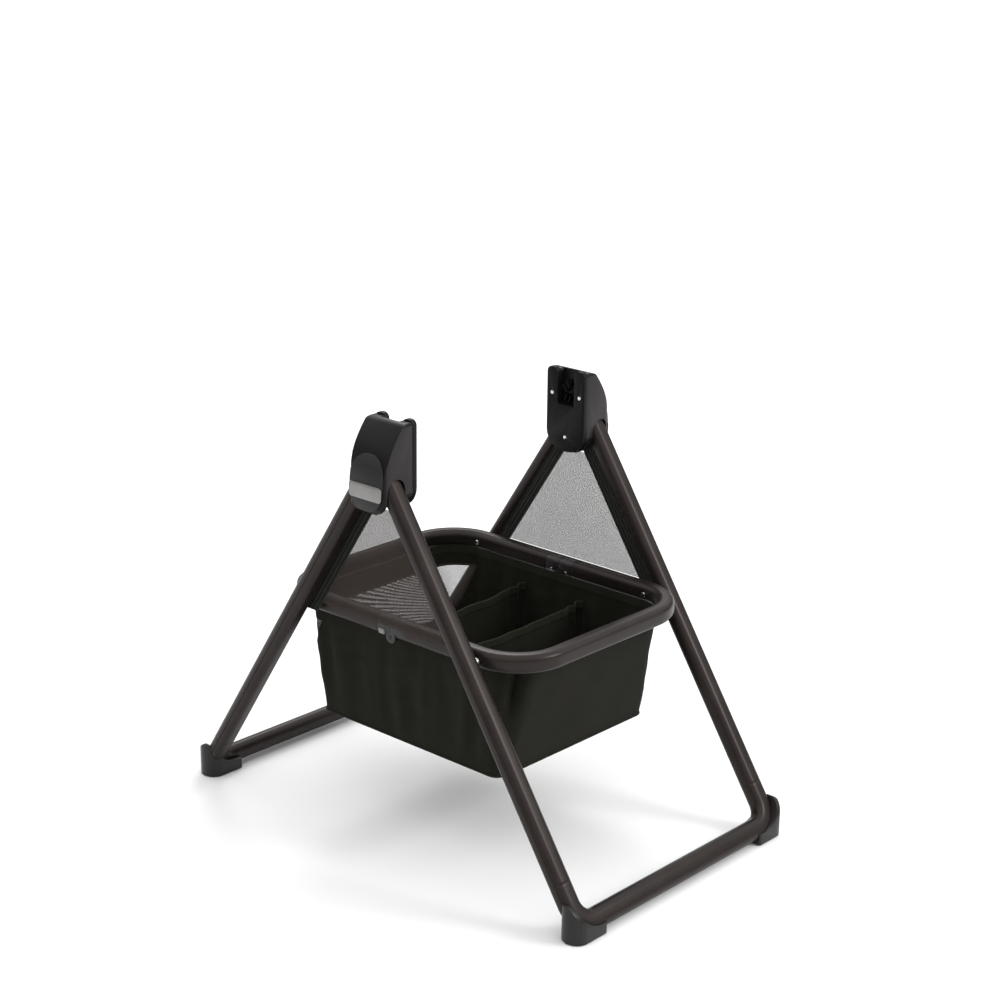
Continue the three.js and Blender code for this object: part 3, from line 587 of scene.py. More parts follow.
class Sweep:
    """Carries a section along straight runs and bends in the XY plane."""

    margin = 0.004

    def __init__(self, section: TubeSection, start: Vector, outward: Vector) -> None:
        """Lays the first ring.

        Args:
            section: the tube's section.
            start: centre of the first ring.
            outward: direction in which the section's outward distance is measured.
        """
        self.bm = bmesh.new()
        ring = [
            self.bm.verts.new(start + outward * out + Vector((0, 0, up))) for out, up in section.outline()
        ]
        self.edges = [self.bm.edges.new(pair) for pair in zip(ring, ring[1:] + ring[:1])]

    def run(self, travel: Vector) -> "Sweep":
        """Extends the tube in a straight line, with a short stretch at each end."""
        margin = min(self.margin, travel.length / 3)
        for length in (margin, travel.length - 2 * margin, margin):
            grown = bmesh.ops.extrude_edge_only(self.bm, edges=self.edges)["geom"]
            ring = [item for item in grown if isinstance(item, bmesh.types.BMVert)]
            self.edges = [item for item in grown if isinstance(item, bmesh.types.BMEdge) and item.is_boundary]
            bmesh.ops.translate(self.bm, verts=ring, vec=travel.normalized() * length)
        return self

    def bend(self, centre: Vector, steps: int = 14) -> "Sweep":
        """Turns the tube a quarter to the left about a centre."""
        turned = bmesh.ops.spin(
            self.bm, geom=self.edges, cent=centre, axis=(0, 0, 1), angle=QUARTER, steps=steps,
            use_duplicate=False,
        )["geom_last"]
        self.edges = [item for item in turned if isinstance(item, bmesh.types.BMEdge)]
        return self

    def closed(self, rounding: float = 0.0006) -> bmesh.types.BMesh:
        """Closes both ends with a lightly rounded cap.

        Returns:
            The solid's mesh.
        """
        bmesh.ops.remove_doubles(self.bm, verts=self.bm.verts, dist=1e-6)
        rims = [edge for edge in self.bm.edges if edge.is_boundary]
        caps = bmesh.ops.holes_fill(self.bm, edges=rims, sides=0)["faces"]
        bmesh.ops.recalc_face_normals(self.bm, faces=self.bm.faces)
        if rounding:
            rims = list({edge for face in caps for edge in face.edges})
            bmesh.ops.bevel(
                self.bm, geom=rims, offset=rounding, offset_type="OFFSET", segments=2, profile=0.5,
                affect="EDGES", clamp_overlap=True, material=-1,
            )
        return self.bm


def u_tube(
    section: TubeSection, half: float, depth: float, radius: float, rounding: float = 0.0006
) -> bmesh.types.BMesh:
    """Flat U of tube, open towards +Y.

    Args:
        section: the tube's section.
        half: half the distance between the two arms' centre-lines.
        depth: length of the U.
        radius: centre-line radius of its bends.
        rounding: rounding of its ends.

    Returns:
        The tube's mesh.
    """
    sweep = Sweep(section, Vector((-half, depth, 0)), Vector((-1, 0, 0)))
    sweep.run(Vector((0, radius - depth, 0))).bend(Vector((radius - half, radius, 0)))
    sweep.run(Vector((2 * (half - radius), 0, 0))).bend(Vector((half - radius, radius, 0)))
    return sweep.run(Vector((0, depth - radius, 0))).closed(rounding)


def swept_curve(start: Vector, pull: Vector, stop: Vector, steps: int) -> list[Vector]:
    """Points of a curve from start to stop that leans towards pull."""
    shares = [step / steps for step in range(steps + 1)]
    return [start * (1 - t) ** 2 + pull * 2 * t * (1 - t) + stop * t**2 for t in shares]


def flipped(bm: bmesh.types.BMesh, x_sign: int, y_sign: int) -> bmesh.types.BMesh:
    """Mirrors a mesh for a side and an end."""
    bmesh.ops.scale(bm, vec=(x_sign, y_sign, 1), verts=bm.verts)
    if x_sign * y_sign < 0:
        bmesh.ops.reverse_faces(bm, faces=bm.faces)
    return bm


def eased(low: float, high: float, value: float) -> float:
    """Smooth step from 0 at low to 1 at high."""
    share = min(1.0, max(0.0, (value - low) / (high - low)))
    return share * share * (3 - 2 * share)


# ---------------------------------------------------------------- frame


@dataclass
class LegFrames:
    """Front and rear U frames: base bars, legs, moulded feet and rubber pads."""

    palette: Palette
    leg_x: float = 0.225
    tilt: float = math.radians(33.2)
    base_y: float = 0.3949
    base_z: float = 0.0205
    riser_top: float = 0.074
    pivot_z: float = 0.5922
    past_pivot: float = 0.013
    bend: float = 0.034
    gap: float = 0.0003
    foot_round_x: float = 0.2245
    foot_y: float = 0.392
    foot_half: float = 0.0215
    foot_inner_x: float = 0.182
    foot_wall: float = 0.057
    toe_z: float = 0.019
    slope_y: float = 0.390
    grooves: dict = field(default_factory=lambda: {End.FRONT: 0.0050, End.REAR: -0.0020})

    def section(self, end: End) -> TubeSection:
        """Section of one frame's tube."""
        return TubeSection(0.032, 0.0272, 0.012, groove_at=self.grooves[end])

    def stood_up(self, bm: bmesh.types.BMesh) -> bmesh.types.BMesh:
        """Stands a flat mesh up in the plane of the front legs."""
        turn = Matrix.Rotation(QUARTER - self.tilt, 4, "X")
        place = Matrix.Translation((0, -self.base_y, self.base_z))
        bmesh.ops.transform(bm, matrix=place @ turn, verts=bm.verts)
        return bm

    def base_tube(self, end: End) -> None:
        """Makes a base bar with its two bends and risers."""
        name = f"{end.label}_base_bar"
        depth = (self.riser_top - self.base_z) / math.cos(self.tilt) + 0.8 * self.gap
        bm = self.stood_up(u_tube(self.section(end), self.leg_x, depth, self.bend))
        made = Bench.piece(name, flipped(bm, 1, -end.value))
        self.finish(made, end, "frame_tube", f"{end.label}_base_tube")

    def leg(self, side: Side, end: End) -> None:
        """Makes a leg from its riser up into the head."""
        start = (self.riser_top - self.base_z) / math.cos(self.tilt) + self.gap
        stop = (self.pivot_z - self.base_z) / math.cos(self.tilt) + self.past_pivot
        sweep = Sweep(self.section(end), Vector((self.leg_x, start, 0)), Vector((1, 0, 0)))
        bm = self.stood_up(sweep.run(Vector((0, stop - start, 0))).closed())
        made = Bench.piece(f"{end.label}_leg_tube_{side.label}", flipped(bm, side.value, -end.value))
        self.finish(made, end, "frame_tube", f"{end.label}_leg_{side.label}")

    def footprint(self, inset: float) -> list[Vector]:
        """Outline of the front right foot on the floor: flat inside, round outside."""
        half, inner = self.foot_half - inset, self.foot_inner_x + inset
        points = [Vector((inner, -self.foot_y + half * sign, 0)) for sign in (0.9, -0.9)]
        points.append(Vector((inner + 0.0025, -self.foot_y - half, 0)))
        for step in range(33):
            angle = -QUARTER + math.pi * step / 32
            points.append(Vector((
                self.foot_round_x + half * math.cos(angle), -self.foot_y + half * math.sin(angle), 0,
            )))
        points.append(Vector((inner + 0.0025, -self.foot_y + half, 0)))
        return points

    def silhouette(self) -> list[Vector]:
        """Front right foot from the front: a sole that sweeps up round the outside of the bend."""
        outer, bend_x = self.foot_round_x + self.foot_half + MM, self.leg_x - self.bend
        low = -MM
        start = Vector((self.leg_x + 0.015, 0, self.foot_wall))
        pull = Vector((self.leg_x, 0, self.base_z))
        stop = Vector((bend_x, 0, self.base_z - MM))
        points = [
            Vector((self.foot_inner_x - MM, 0, low)),
            Vector((outer, 0, low)),
            Vector((outer, 0, self.foot_wall - 0.004)),
            Vector((outer - 0.004, 0, self.foot_wall)),
        ]
        points.extend(swept_curve(start, pull, stop, 16))
        points.append(Vector((self.foot_inner_x - MM, 0, self.base_z - MM)))
        return points

    def toe_slope(self) -> list[Vector]:
        """Front right foot from the side: an upright toe that sweeps back up to the leg."""
        toe, heel = -self.foot_y - self.foot_half - MM, -self.foot_y + self.foot_half + MM
        start, stop = Vector((0, toe, self.toe_z)), Vector((0, -self.slope_y, self.foot_wall + MM))
        pull = Vector((0, toe + 0.004, self.foot_wall - 0.008))
        points = [Vector((0, heel, self.foot_wall + MM)), Vector((0, heel, -MM)), Vector((0, toe, -MM))]
        return points + swept_curve(start, pull, stop, 14)

    def foot(self, side: Side, end: End) -> None:
        """Makes a moulded foot and the pad under it."""
        name = f"{end.label}_foot_{side.label}"
        pad_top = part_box(f"{end.label}_foot_pad_{side.label}")[1].z
        low = pad_top + self.gap
        sole = [point + Vector((0, 0, low)) for point in self.footprint(0.0)]
        boot = Bench.piece(f"{name}_boot", Bench.prism(sole, Vector((0, 0, self.foot_wall - low + MM))))
        side_view = [point - Vector((0, 2 * self.foot_y, 0)) for point in self.silhouette()]
        cover = Bench.piece("cover", Bench.prism(side_view, Vector((0, 2 * self.foot_y, 0))))
        Bench.shape(boot, cover, Join.KEEP_SHARED)
        reach = Vector((2 * self.foot_round_x, 0, 0))
        Bench.shape(boot, Bench.piece("toe", Bench.prism(self.toe_slope(), reach)), Join.KEEP_SHARED)
        depth = (self.riser_top - self.base_z) / math.cos(self.tilt)
        channel = u_tube(self.section(end).grown(self.gap), self.leg_x, depth, self.bend, 0.0)
        Bench.shape(boot, Bench.piece("channel", self.stood_up(channel)), Join.CUT)
        Bench.round_edges(boot, 0.0022, 4)
        bm = bmesh.new()
        bm.from_mesh(boot.data)
        bpy.data.objects.remove(boot)
        made = Bench.piece(f"{name}_boot", flipped(bm, side.value, -end.value), recalculate=False)
        self.finish(made, end, "foot_shell", name)
        pad = Bench.prism(self.footprint(0.002), Vector((0, 0, pad_top)))
        made = Bench.piece(f"{name}_sole", flipped(pad, side.value, -end.value))
        Bench.round_edges(made, 0.0005)
        self.finish(made, end, "foot_pad", f"{end.label}_foot_pad_{side.label}")

    def finish(self, piece: bpy.types.Object, end: End, finish: str, node: str) -> None:
        """Dresses a piece, lets it ride on its frame and lets it stand for its node."""
        self.palette.dress(piece, finish)
        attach(piece, f"{end.label}_frame")
        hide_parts(node)
        LOG.info("made %s", piece.name)

    def build(self) -> None:
        """Makes both frames."""
        for end in End:
            self.base_tube(end)
            for side in Side:
                self.leg(side, end)
                self.foot(side, end)


@dataclass
class FoldingRim:
    """Upper rim in two halves, with its middle hinges, bolts, pins, rivets and release buttons."""

    palette: Palette
    half_x: float = 0.1887
    half_y: float = 0.2477
    height: float = 0.3533
    bend: float = 0.076
    reach: float = 0.028
    section: TubeSection = TubeSection(0.027, 0.029, 0.010, groove_at=-0.0065, groove_on_top=True)
    rivet_radius: float = 0.0021
    rivet_y: tuple[float, ...] = (0.0150,)
    rivet_z: float = 0.3475

    def tube(self, end: End) -> None:
        """Makes one half of the rim."""
        bm = u_tube(self.section, self.half_x, self.half_y - self.reach, self.bend)
        bmesh.ops.translate(bm, verts=bm.verts, vec=(0, -self.half_y, self.height))
        made = Bench.piece(f"rim_{end.label}_bar", flipped(bm, 1, -end.value))
        self.finish(made, f"rim_{end.label}", "frame_tube", f"rim_{end.label}_tube")

    def copy(self, node: str, body: str, finish: str, rounding: float) -> None:
        """Makes a rounded copy of a CAD node."""
        made = Bench.cad_copy(f"{node}_moulded", node)
        if rounding:
            Bench.round_edges(made, rounding)
        self.finish(made, body, finish, node)

    def rivets(self, side: Side) -> None:
        """Makes one bright rivet on the inner face of each hinge half."""
        face = side.value * (self.half_x - self.section.wide / 2)
        for end in End:
            bm = bmesh.new()
            for y in self.rivet_y:
                place = Matrix.Translation((face, end.value * y, self.rivet_z))
                bmesh.ops.create_uvsphere(
                    bm, u_segments=16, v_segments=8, radius=self.rivet_radius,
                    matrix=place @ Matrix.Diagonal((0.35, 1, 1, 1)),
                )
            made = Bench.piece(f"hinge_rivets_{end.label}_{side.label}", bm)
            self.palette.dress(made, "fastener_steel")
            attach(made, f"rim_{end.label}")

    def finish(self, piece: bpy.types.Object, body: str, finish: str, node: str) -> None:
        """Dresses a piece, lets it ride on its body and lets it stand for its node."""
        self.palette.dress(piece, finish)
        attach(piece, body)
        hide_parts(node)
        LOG.info("made %s", piece.name)

    def build(self) -> None:
        """Makes the rim."""
        for end in End:
            self.tube(end)
            for side in Side:
                self.copy(f"rim_{end.label}_bolt_{side.label}", f"rim_{end.label}", "fastener_steel", 0.0003)
        for side in Side:
            self.copy(f"rim_hinge_fork_{side.label}", "rim_front", "hinge_plastic", 0.0007)
            self.copy(f"rim_hinge_tongue_{side.label}", "rim_rear", "hinge_plastic", 0.0007)
            self.copy(f"rim_hinge_pin_{side.label}", "rim_front", "hinge_pin", 0.0004)
            self.copy(f"release_button_{side.label}", f"button_{side.label}", "release_button", 0.0012)
            self.rivets(side)


# ---------------------------------------------------------------- heads


@dataclass
class Head:
    """One head: housing, receiver plate with its ribs, hub cap, badge, screws and leg pins."""

    palette: Palette
    side: Side
    facet_x: float = 0.210
    rib_x: tuple[float, float] = (0.1905, 0.2006)
    rib_thick: float = 0.0014
    ribs: tuple[tuple[float, float, float, float], ...] = (
        (0.005, 0.659, 0.000, 0.648),
        (-0.005, 0.659, 0.000, 0.648),
        (0.014, 0.651, 0.003, 0.641),
        (-0.014, 0.648, -0.003, 0.641),
        (0.004, 0.636, 0.009, 0.624),
        (-0.005, 0.636, 0.000, 0.624),
    )

    def housing(self) -> None:
        """Makes the housing, with a satin side wall beside its darker outer face."""
        made = Bench.cad_copy(f"head_housing_{self.side.label}", f"head_shell_{self.side.label}")
        Bench.round_edges(made, 0.0016, 3)
        self.palette.dress(made, "head_housing")
        made.data.materials.append(self.palette.materials["head_side_wall"])
        for face in made.data.polygons:
            if abs(face.normal.y) > 0.93 and abs(face.center.x) > self.facet_x:
                face.material_index = 1
        self.finish(made, "head_housing", f"head_shell_{self.side.label}")

    def receiver_ribs(self) -> None:
        """Makes the guide ribs at the back of the receiver slot."""
        bm = bmesh.new()
        for y0, z0, y1, z1 in self.ribs:
            span = Vector((0, y1 - y0, z1 - z0))
            turn = Matrix.Rotation(math.atan2(-span.y, span.z), 4, "X")
            middle = Vector((self.side.value * sum(self.rib_x) / 2, (y0 + y1) / 2, (z0 + z1) / 2))
            size = Matrix.Diagonal((self.rib_x[1] - self.rib_x[0], self.rib_thick, span.length, 1))
            made = bmesh.ops.create_cube(bm, size=1.0, matrix=Matrix.Translation(middle) @ turn @ size)
            edges = list({edge for vert in made["verts"] for edge in vert.link_edges})
            bmesh.ops.bevel(
                bm, geom=edges, offset=0.0004, offset_type="OFFSET", segments=2, profile=0.5,
                affect="EDGES", clamp_overlap=True, material=-1,
            )
        piece = Bench.piece(f"receiver_ribs_{self.side.label}", bm)
        self.palette.dress(piece, "head_housing")
        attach(piece, "heads")

    def copy(self, node: str, finish: str, rounding: float) -> None:
        """Makes a rounded copy of a CAD node."""
        made = Bench.cad_copy(f"{node}_moulded", node)
        Bench.round_edges(made, rounding)
        self.palette.dress(made, finish)
        self.finish(made, finish, node)

    def finish(self, piece: bpy.types.Object, finish: str, node: str) -> None:
        """Lets a piece ride on the heads and stand for its node."""
        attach(piece, "heads")
        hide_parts(node)
        LOG.info("made %s", piece.name)

    def build(self) -> None:
        """Makes the head."""
        label = self.side.label
        self.housing()
        self.receiver_ribs()
        self.copy(f"head_plate_{label}", "receiver_plate", 0.0010)
        self.copy(f"hub_cap_{label}", "hub_cap", 0.0006)
        self.copy(f"badge_{label}", "badge", 0.0004)
        for place in ("low", "front", "rear"):
            self.copy(f"plate_screw_{place}_{label}", "fastener_steel", 0.0004)
        for end in End:
            self.copy(f"leg_pin_{end.label}_{label}", "fastener_steel", 0.0005)


# ---------------------------------------------------------------- soft goods


@dataclass
class SoftPiece:
    """What every soft piece shares: its finish and its ride on the heads."""

    palette: Palette
    keep: float = 0.13

    def finish(self, piece: bpy.types.Object, finish: str, slot: str, *nodes: str) -> bpy.types.Object:
        """Dresses a soft piece, lets it ride on the heads, lets it stand for its nodes and gives it a mesh of
        its own.
        """
        self.palette.dress(piece, finish)
        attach(piece, "heads")
        if nodes:
            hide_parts(*nodes)
        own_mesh(piece)
        LOG.info("made %s", piece.name)
        return piece


@dataclass
class Basket(SoftPiece):
    """Sewn basket: one wall sheet with a net window, a floor, piping, a hem and two dividers."""

    floor_z: float = 0.159
    top_z: float = 0.338
    edge_z: float = 0.344
    floor_half: tuple[float, float] = (0.169, 0.188)
    top_half: tuple[float, float] = (0.1744, 0.2332)
    corners: tuple[float, float] = (0.018, 0.056)
    cloth_thick: float = 0.0009
    band_columns: int = 300
    ring_steps: int = 160
    rows: int = 40
    crease: float = 0.0056
    tuck: float = 0.022
    divider_y: tuple[float, float] = (-0.055, 0.067)
    divider_top: float = 0.312
    divider_sag: float = 0.008
    window_half: float = 0.193
    window_z: tuple[float, float] = (0.213, 0.309)
    window_handles: tuple[tuple[float, float], ...] = ((0.170, 0.250), (0.130, 0.213), (0.060, 0.213))
    measured_at: float = 0.285

    def section(self, z: float, inset: float) -> tuple[float, float, float]:
        """Half width, half length and corner radius at a height."""
        share = (z - self.floor_z) / (self.top_z - self.floor_z)
        sizes = [
            low + (high - low) * min(share, 1.0)
            for low, high in zip((*self.floor_half, self.corners[0]), (*self.top_half, self.corners[1]))
        ]
        return sizes[0] - inset, sizes[1] - inset, sizes[2] - inset

    def stretches(self) -> tuple[float, float, float]:
        """Length along the wall of half an end, of a corner and of a side, where it is measured."""
        half_x, half_y, radius = self.section(self.measured_at, 0.0)
        return half_x - radius, QUARTER * radius, 2 * (half_y - radius)

    def half_round(self) -> float:
        """Length of half the wall, from the middle of the rear to the middle of the front."""
        end, corner, side = self.stretches()
        return 2 * (end + corner) + side

    def column(self, arc: float) -> tuple[int, float, bool]:
        """Finds a place along the wall's right half.

        Args:
            arc: distance from the middle of the rear, in metres.

        Returns:
            The quarter, the share of the way through its corner or straight, and whether it is a corner.
        """
        end, corner, side = self.stretches()
        parts = (
            (0, end, False, 0.5, 0.5),
            (0, corner, True, 1.0, 1.0),
            (3, side, False, 1.0, 1.0),
            (3, corner, True, 1.0, 1.0),
            (2, end, False, 1.0, 0.5),
        )
        for quarter, length, is_corner, start, span in parts:
            if arc <= length + 1e-9:
                return quarter, start - (arc / length) * span, is_corner
            arc -= length
        return 2, 0.5, False

    def on_wall(self, column: tuple[int, float, bool], z: float, inset: float) -> tuple[Vector, Vector]:
        """Point of the plain wall and the direction outwards."""
        quarter, share, is_corner = column
        half_x, half_y, radius = self.section(z, inset)
        signs = ((1, 1), (-1, 1), (-1, -1), (1, -1))

        def corner_point(which: int, angle: float) -> Vector:
            sign_x, sign_y = signs[which % 4]
            return Vector((
                sign_x * (half_x - radius) + radius * math.cos(angle),
                sign_y * (half_y - radius) + radius * math.sin(angle),
                z,
            ))

        if is_corner:
            angle = (quarter + share) * QUARTER
            return corner_point(quarter, angle), Vector((math.cos(angle), math.sin(angle), 0))
        angle = (quarter + 1) * QUARTER
        first, second = corner_point(quarter, angle), corner_point(quarter + 1, angle)
        return first.lerp(second, share), Vector((math.cos(angle), math.sin(angle), 0))

    def drape(self, column: tuple[int, float, bool], point: Vector, outward: Vector) -> float:
        """How far the cloth stands out of the plain wall at a point."""
        rise = (point.z - self.floor_z) / (self.top_z - self.floor_z)
        hang = math.sin(math.pi * min(1.0, max(0.0, rise))) ** 0.8
        on_side = abs(outward.x) ** 2
        held = min(abs(point.y - y) for y in self.divider_y)
        free = 1 - math.exp(-((held / 0.016) ** 2))
        wander = noise.noise(Vector((point.y * 9, rise * 1.2, 3.0 * outward.x)))
        folds = (
            0.55 * math.sin(2 * math.pi * point.y / 0.061 + 1.2 * rise + 3 * wander)
            + 0.45 * noise.noise(Vector((point.y * 42, rise * 2.4, 5.0 * outward.x)))
            + 0.35 * noise.noise(Vector((point.y * 16 + rise * 7, rise * 5, 9.0 * outward.x)))
        )
        calm = 0.5 * noise.noise(Vector((point.x * 11, rise * 3, 4.0 + outward.y)))
        out = self.crease * hang * (on_side * free * folds + 0.45 * (1 - on_side) * calm)
        if column[2] and column[0] in (2, 3):
            near_middle = max(0.0, 1 - abs(column[1] - 0.5) / 0.24) ** 1.3
            out -= self.tuck * near_middle * eased(0.45, 0.86, rise) * (1 - eased(0.93, 1.0, rise))
        return out

    def flat_band(
        self, name: str, z_range: tuple[float, float], rows: int, layer: tuple[float, float]
    ) -> bpy.types.Object:
        """Lays out a strip of wall cloth flat, in length and height.

        Args:
            name: the strip's name.
            z_range: its lowest and highest edge.
            rows: faces from edge to edge.
            layer: depth of its two faces, inwards from the wall's outer face.

        Returns:
            The flat strip.
        """
        bm = bmesh.new()
        low, high = z_range
        length = 2 * self.half_round()
        bmesh.ops.create_grid(bm, x_segments=self.band_columns, y_segments=rows, size=0.5)
        for vert in bm.verts:
            vert.co = Vector((vert.co.x * length, layer[0], low + (vert.co.y + 0.5) * (high - low)))
        grown = bmesh.ops.extrude_face_region(bm, geom=bm.faces[:])["geom"]
        back = [item for item in grown if isinstance(item, bmesh.types.BMVert)]
        bmesh.ops.translate(bm, verts=back, vec=(0, layer[1] - layer[0], 0))
        return Bench.piece(name, bm)

    def flat_area(self, strip: bpy.types.Object) -> float:
        """Area of a flat strip of cloth, seen from one side."""
        return sum(face.area for face in strip.data.polygons if face.normal.y > 0.9)

    def wrap(self, strip: bpy.types.Object) -> bpy.types.Object:
        """Wraps a flat strip round the basket and joins its two ends."""
        bm = bmesh.new()
        bm.from_mesh(strip.data)
        half = self.half_round()
        ends = [face for face in bm.faces if all(abs(abs(vert.co.x) - half) < 1e-6 for vert in face.verts)]
        bmesh.ops.delete(bm, geom=ends, context="FACES")
        chart = bm.loops.layers.uv.new("cloth")
        for face in bm.faces:
            for loop in face.loops:
                loop[chart].uv = (loop.vert.co.x, loop.vert.co.z)
        for vert in bm.verts:
            side = -1 if vert.co.x < 0 else 1
            column = self.column(abs(vert.co.x))
            point, outward = self.on_wall(column, vert.co.z, 0.0)
            point.x, outward.x = side * point.x, side * outward.x
            vert.co = point + outward * (self.drape(column, point, outward) - vert.co.y)
        bmesh.ops.remove_doubles(bm, verts=bm.verts, dist=2e-6)
        bmesh.ops.recalc_face_normals(bm, faces=bm.faces)
        bm.to_mesh(strip.data)
        bm.free()
        strip.data.shade_smooth()
        strip.data.set_sharp_from_angle(angle=math.radians(60))
        return strip

    def window_outline(self, inset: float) -> list[Vector]:
        """Outline of the window on the flat cloth: a D on its back that wraps round both rear corners."""
        low, high = self.window_z[0] + inset, self.window_z[1] - inset
        ends = [Vector((self.window_half - inset, 0, high))]
        ends += [Vector((x - inset, 0, max(z + inset, low))) for x, z in self.window_handles]
        curve = []
        for step in range(29):
            t = step / 28
            weights = ((1 - t) ** 3, 3 * t * (1 - t) ** 2, 3 * t * t * (1 - t), t**3)
            curve.append(sum((weight * point for weight, point in zip(weights, ends)), Vector()))
        return curve + [Vector((-point.x, 0, point.z)) for point in reversed(curve)]

    def window_prism(self, inset: float) -> bpy.types.Object:
        """Solid through the flat cloth in the shape of the window."""
        reach = 10 * self.cloth_thick
        outline = [point - Vector((0, reach, 0)) for point in self.window_outline(inset)]
        return Bench.piece("window_prism", Bench.prism(outline, Vector((0, 2 * reach, 0))))

    def walls(self) -> None:
        """Makes the wall sheet with its window cut out, and the hem inside its top edge."""
        thick = self.cloth_thick
        made = self.flat_band("basket_walls", (self.floor_z, self.edge_z), self.rows, (0.0, thick))
        Bench.shape(made, self.window_prism(0.0), Join.CUT)
        hem_top = self.edge_z - 0.0008
        hem_layer = (thick + 0.0001, thick + 0.0011)
        hem = self.flat_band("basket_top_hem", (self.edge_z - 0.013, hem_top), 4, hem_layer)
        self.finish(self.wrap(hem), "basket_trim", "basket_fabric")
        self.finish(self.wrap(made), "basket_fabric", "basket_fabric", "basket")
        size = (2 * self.half_round(), self.edge_z - self.floor_z)

    def window(self) -> None:
        """Makes the net behind the window, which is sewn to the wall all round."""
        thick = self.cloth_thick
        net = self.flat_band("window_net", (0.200, 0.318), 30, (thick + 0.0001, thick + 0.0005))
        Bench.shape(net, self.window_prism(-0.004), Join.KEEP_SHARED)
        self.finish(self.wrap(net), "mesh_fabric", "mesh_fabric", "basket_window")

    def ring(self, inset: float) -> list[Vector]:
        """Points round the foot of the wall."""
        half = self.half_round()
        found = []
        for step in range(self.ring_steps):
            arc = (2 * step / self.ring_steps - 1) * half
            point = self.on_wall(self.column(abs(arc)), self.floor_z, inset)[0]
            found.append(Vector((-point.x if arc < 0 else point.x, point.y, point.z)))
        return found

    def floor(self) -> None:
        """Makes the floor panel and the piping round it."""
        low = Vector((0, 0, 0.0006))
        bm = Bench.prism([point + low for point in self.ring(0.0015)], Vector((0, 0, 0.0022)))
        chart = bm.loops.layers.uv.new("cloth")
        for face in bm.faces:
            for loop in face.loops:
                loop[chart].uv = (loop.vert.co.x, loop.vert.co.y)
        panel = Bench.piece("basket_floor", bm)
        self.finish(panel, "basket_fabric", "basket_fabric")
        line = [point + Vector((0, 0, 0.0014)) for point in self.ring(0.0)]
        piping = Bench.cord_edge("floor_piping", line, 0.0018, True)
        self.finish(piping, "basket_trim", "basket_fabric")

    def divider(self, index: int, y: float) -> None:
        """Makes a divider with a sagging, hemmed top edge."""
        half = self.floor_half[0] + 0.0022
        height = self.divider_top - self.floor_z

        def place(across: float, along: float) -> Vector:
            bow = 1 - (2 * across - 1) ** 2
            x = (2 * across - 1) * (half - 0.0045 + 0.0024 * along)
            z = self.floor_z + 0.0035 + (height - 0.0035 - self.divider_sag * bow) * along
            swell = 0.0045 * math.sin(math.pi * across) * math.sin(math.pi * along) * (-1) ** index
            ends = math.exp(-(((across - 1) / 0.10) ** 2)) + math.exp(-((across / 0.10) ** 2))
            gather = 0.0046 * ends * math.sin(across * 96 + along * 2.4) * eased(0.1, 1.0, along)
            soft = 0.0052 * noise.noise(Vector((across * 9, along * 1.6, 7.0 + index)))
            return Vector((x, y + swell + gather + soft * bow, z))

        panel = Bench.cloth(f"divider_{index}", 90, 36, (2 * half, height), place)
        Bench.thicken(panel, self.cloth_thick, 0.0)
        panel.data.shade_smooth()
        hem = Bench.cloth(
            f"divider_hem_{index}", 90, 6, (2 * half, 0.013),
            lambda across, along: place(across, 1 - 0.085 * (1 - along)) + Vector((0, 0, 0.0006)),
        )
        Bench.thicken(hem, 0.0026, 0.0)
        hem.data.shade_smooth()
        self.finish(hem, "basket_trim", "basket_fabric")
        self.finish(panel, "basket_fabric", "basket_fabric", f"basket_divider_{index}")

    def build(self) -> None:
        """Makes the basket."""
        self.walls()
        self.window()
        self.floor()
        for index, y in enumerate(self.divider_y, 1):
            self.divider(index, y)


@dataclass
class SideScreen(SoftPiece):
    """See-through net between a pair of legs, with a stitched tape along each leg."""

    side: Side = Side.LEFT
    keep: float = 0.12
    plane_x: float = 0.211
    low: float = 0.361
    high: float = 0.5415
    tape_low: float = 0.345
    tape_width: float = 0.0195
    tape_high: float = 0.568
    tape_thick: float = 0.0024
    leg_reach: float = 0.0092
    tilt: float = math.radians(33.2)

    def leg_edge(self, z: float) -> float:
        """Distance from the middle to a leg's inner face at a height."""
        return 0.3949 - (z - 0.0205) * math.tan(self.tilt) - self.leg_reach / math.cos(self.tilt)

    def net(self) -> None:
        """Makes the net."""

        def place(across: float, along: float) -> Vector:
            z = self.low + (self.high - self.low) * along
            bow = math.sin(math.pi * across) * math.sin(math.pi * along)
            x = self.side.value * (self.plane_x - 0.0003 * bow)
            return Vector((x, (2 * across - 1) * self.leg_edge(z), z))

        width = 2 * self.leg_edge(self.low)
        bm_net = Bench.cloth(f"side_net_{self.side.label}", 40, 24, (width, self.high - self.low), place)
        chart = bm_net.data.uv_layers["cloth"].data
        for loop in bm_net.data.loops:
            point = bm_net.data.vertices[loop.vertex_index].co
            chart[loop.index].uv = (point.y, point.z)
        Bench.thicken(bm_net, 0.0004, 0.0)
        bm_net.data.shade_smooth()
        self.finish(bm_net, "mesh_fabric", "mesh_fabric", f"side_mesh_{self.side.label}")

    def tape(self, end: End) -> None:
        """Makes the tape along one leg."""
        height = (self.tape_high - self.tape_low) / math.cos(self.tilt)
        across_y = self.tape_width / math.cos(self.tilt)

        def place(across: float, along: float) -> Vector:
            z = self.tape_low + (self.tape_high - self.tape_low) * along
            pucker = 0.0002 * math.sin(along * height / 0.0065) * math.sin(math.pi * across)
            y = self.leg_edge(z) - across * across_y
            return Vector((self.side.value * (self.plane_x + pucker), end.value * y, z))

        made = Bench.cloth(f"side_tape_{end.label}_{self.side.label}", 8, 120, (1.0, height), place)
        Bench.thicken(made, self.tape_thick, 0.0)
        Bench.smooth(made)
        self.finish(made, "edge_tape", "basket_fabric")

    def build(self) -> None:
        """Makes the screen."""
        self.net()
        for end in End:
            self.tape(end)


# ---------------------------------------------------------------- studio


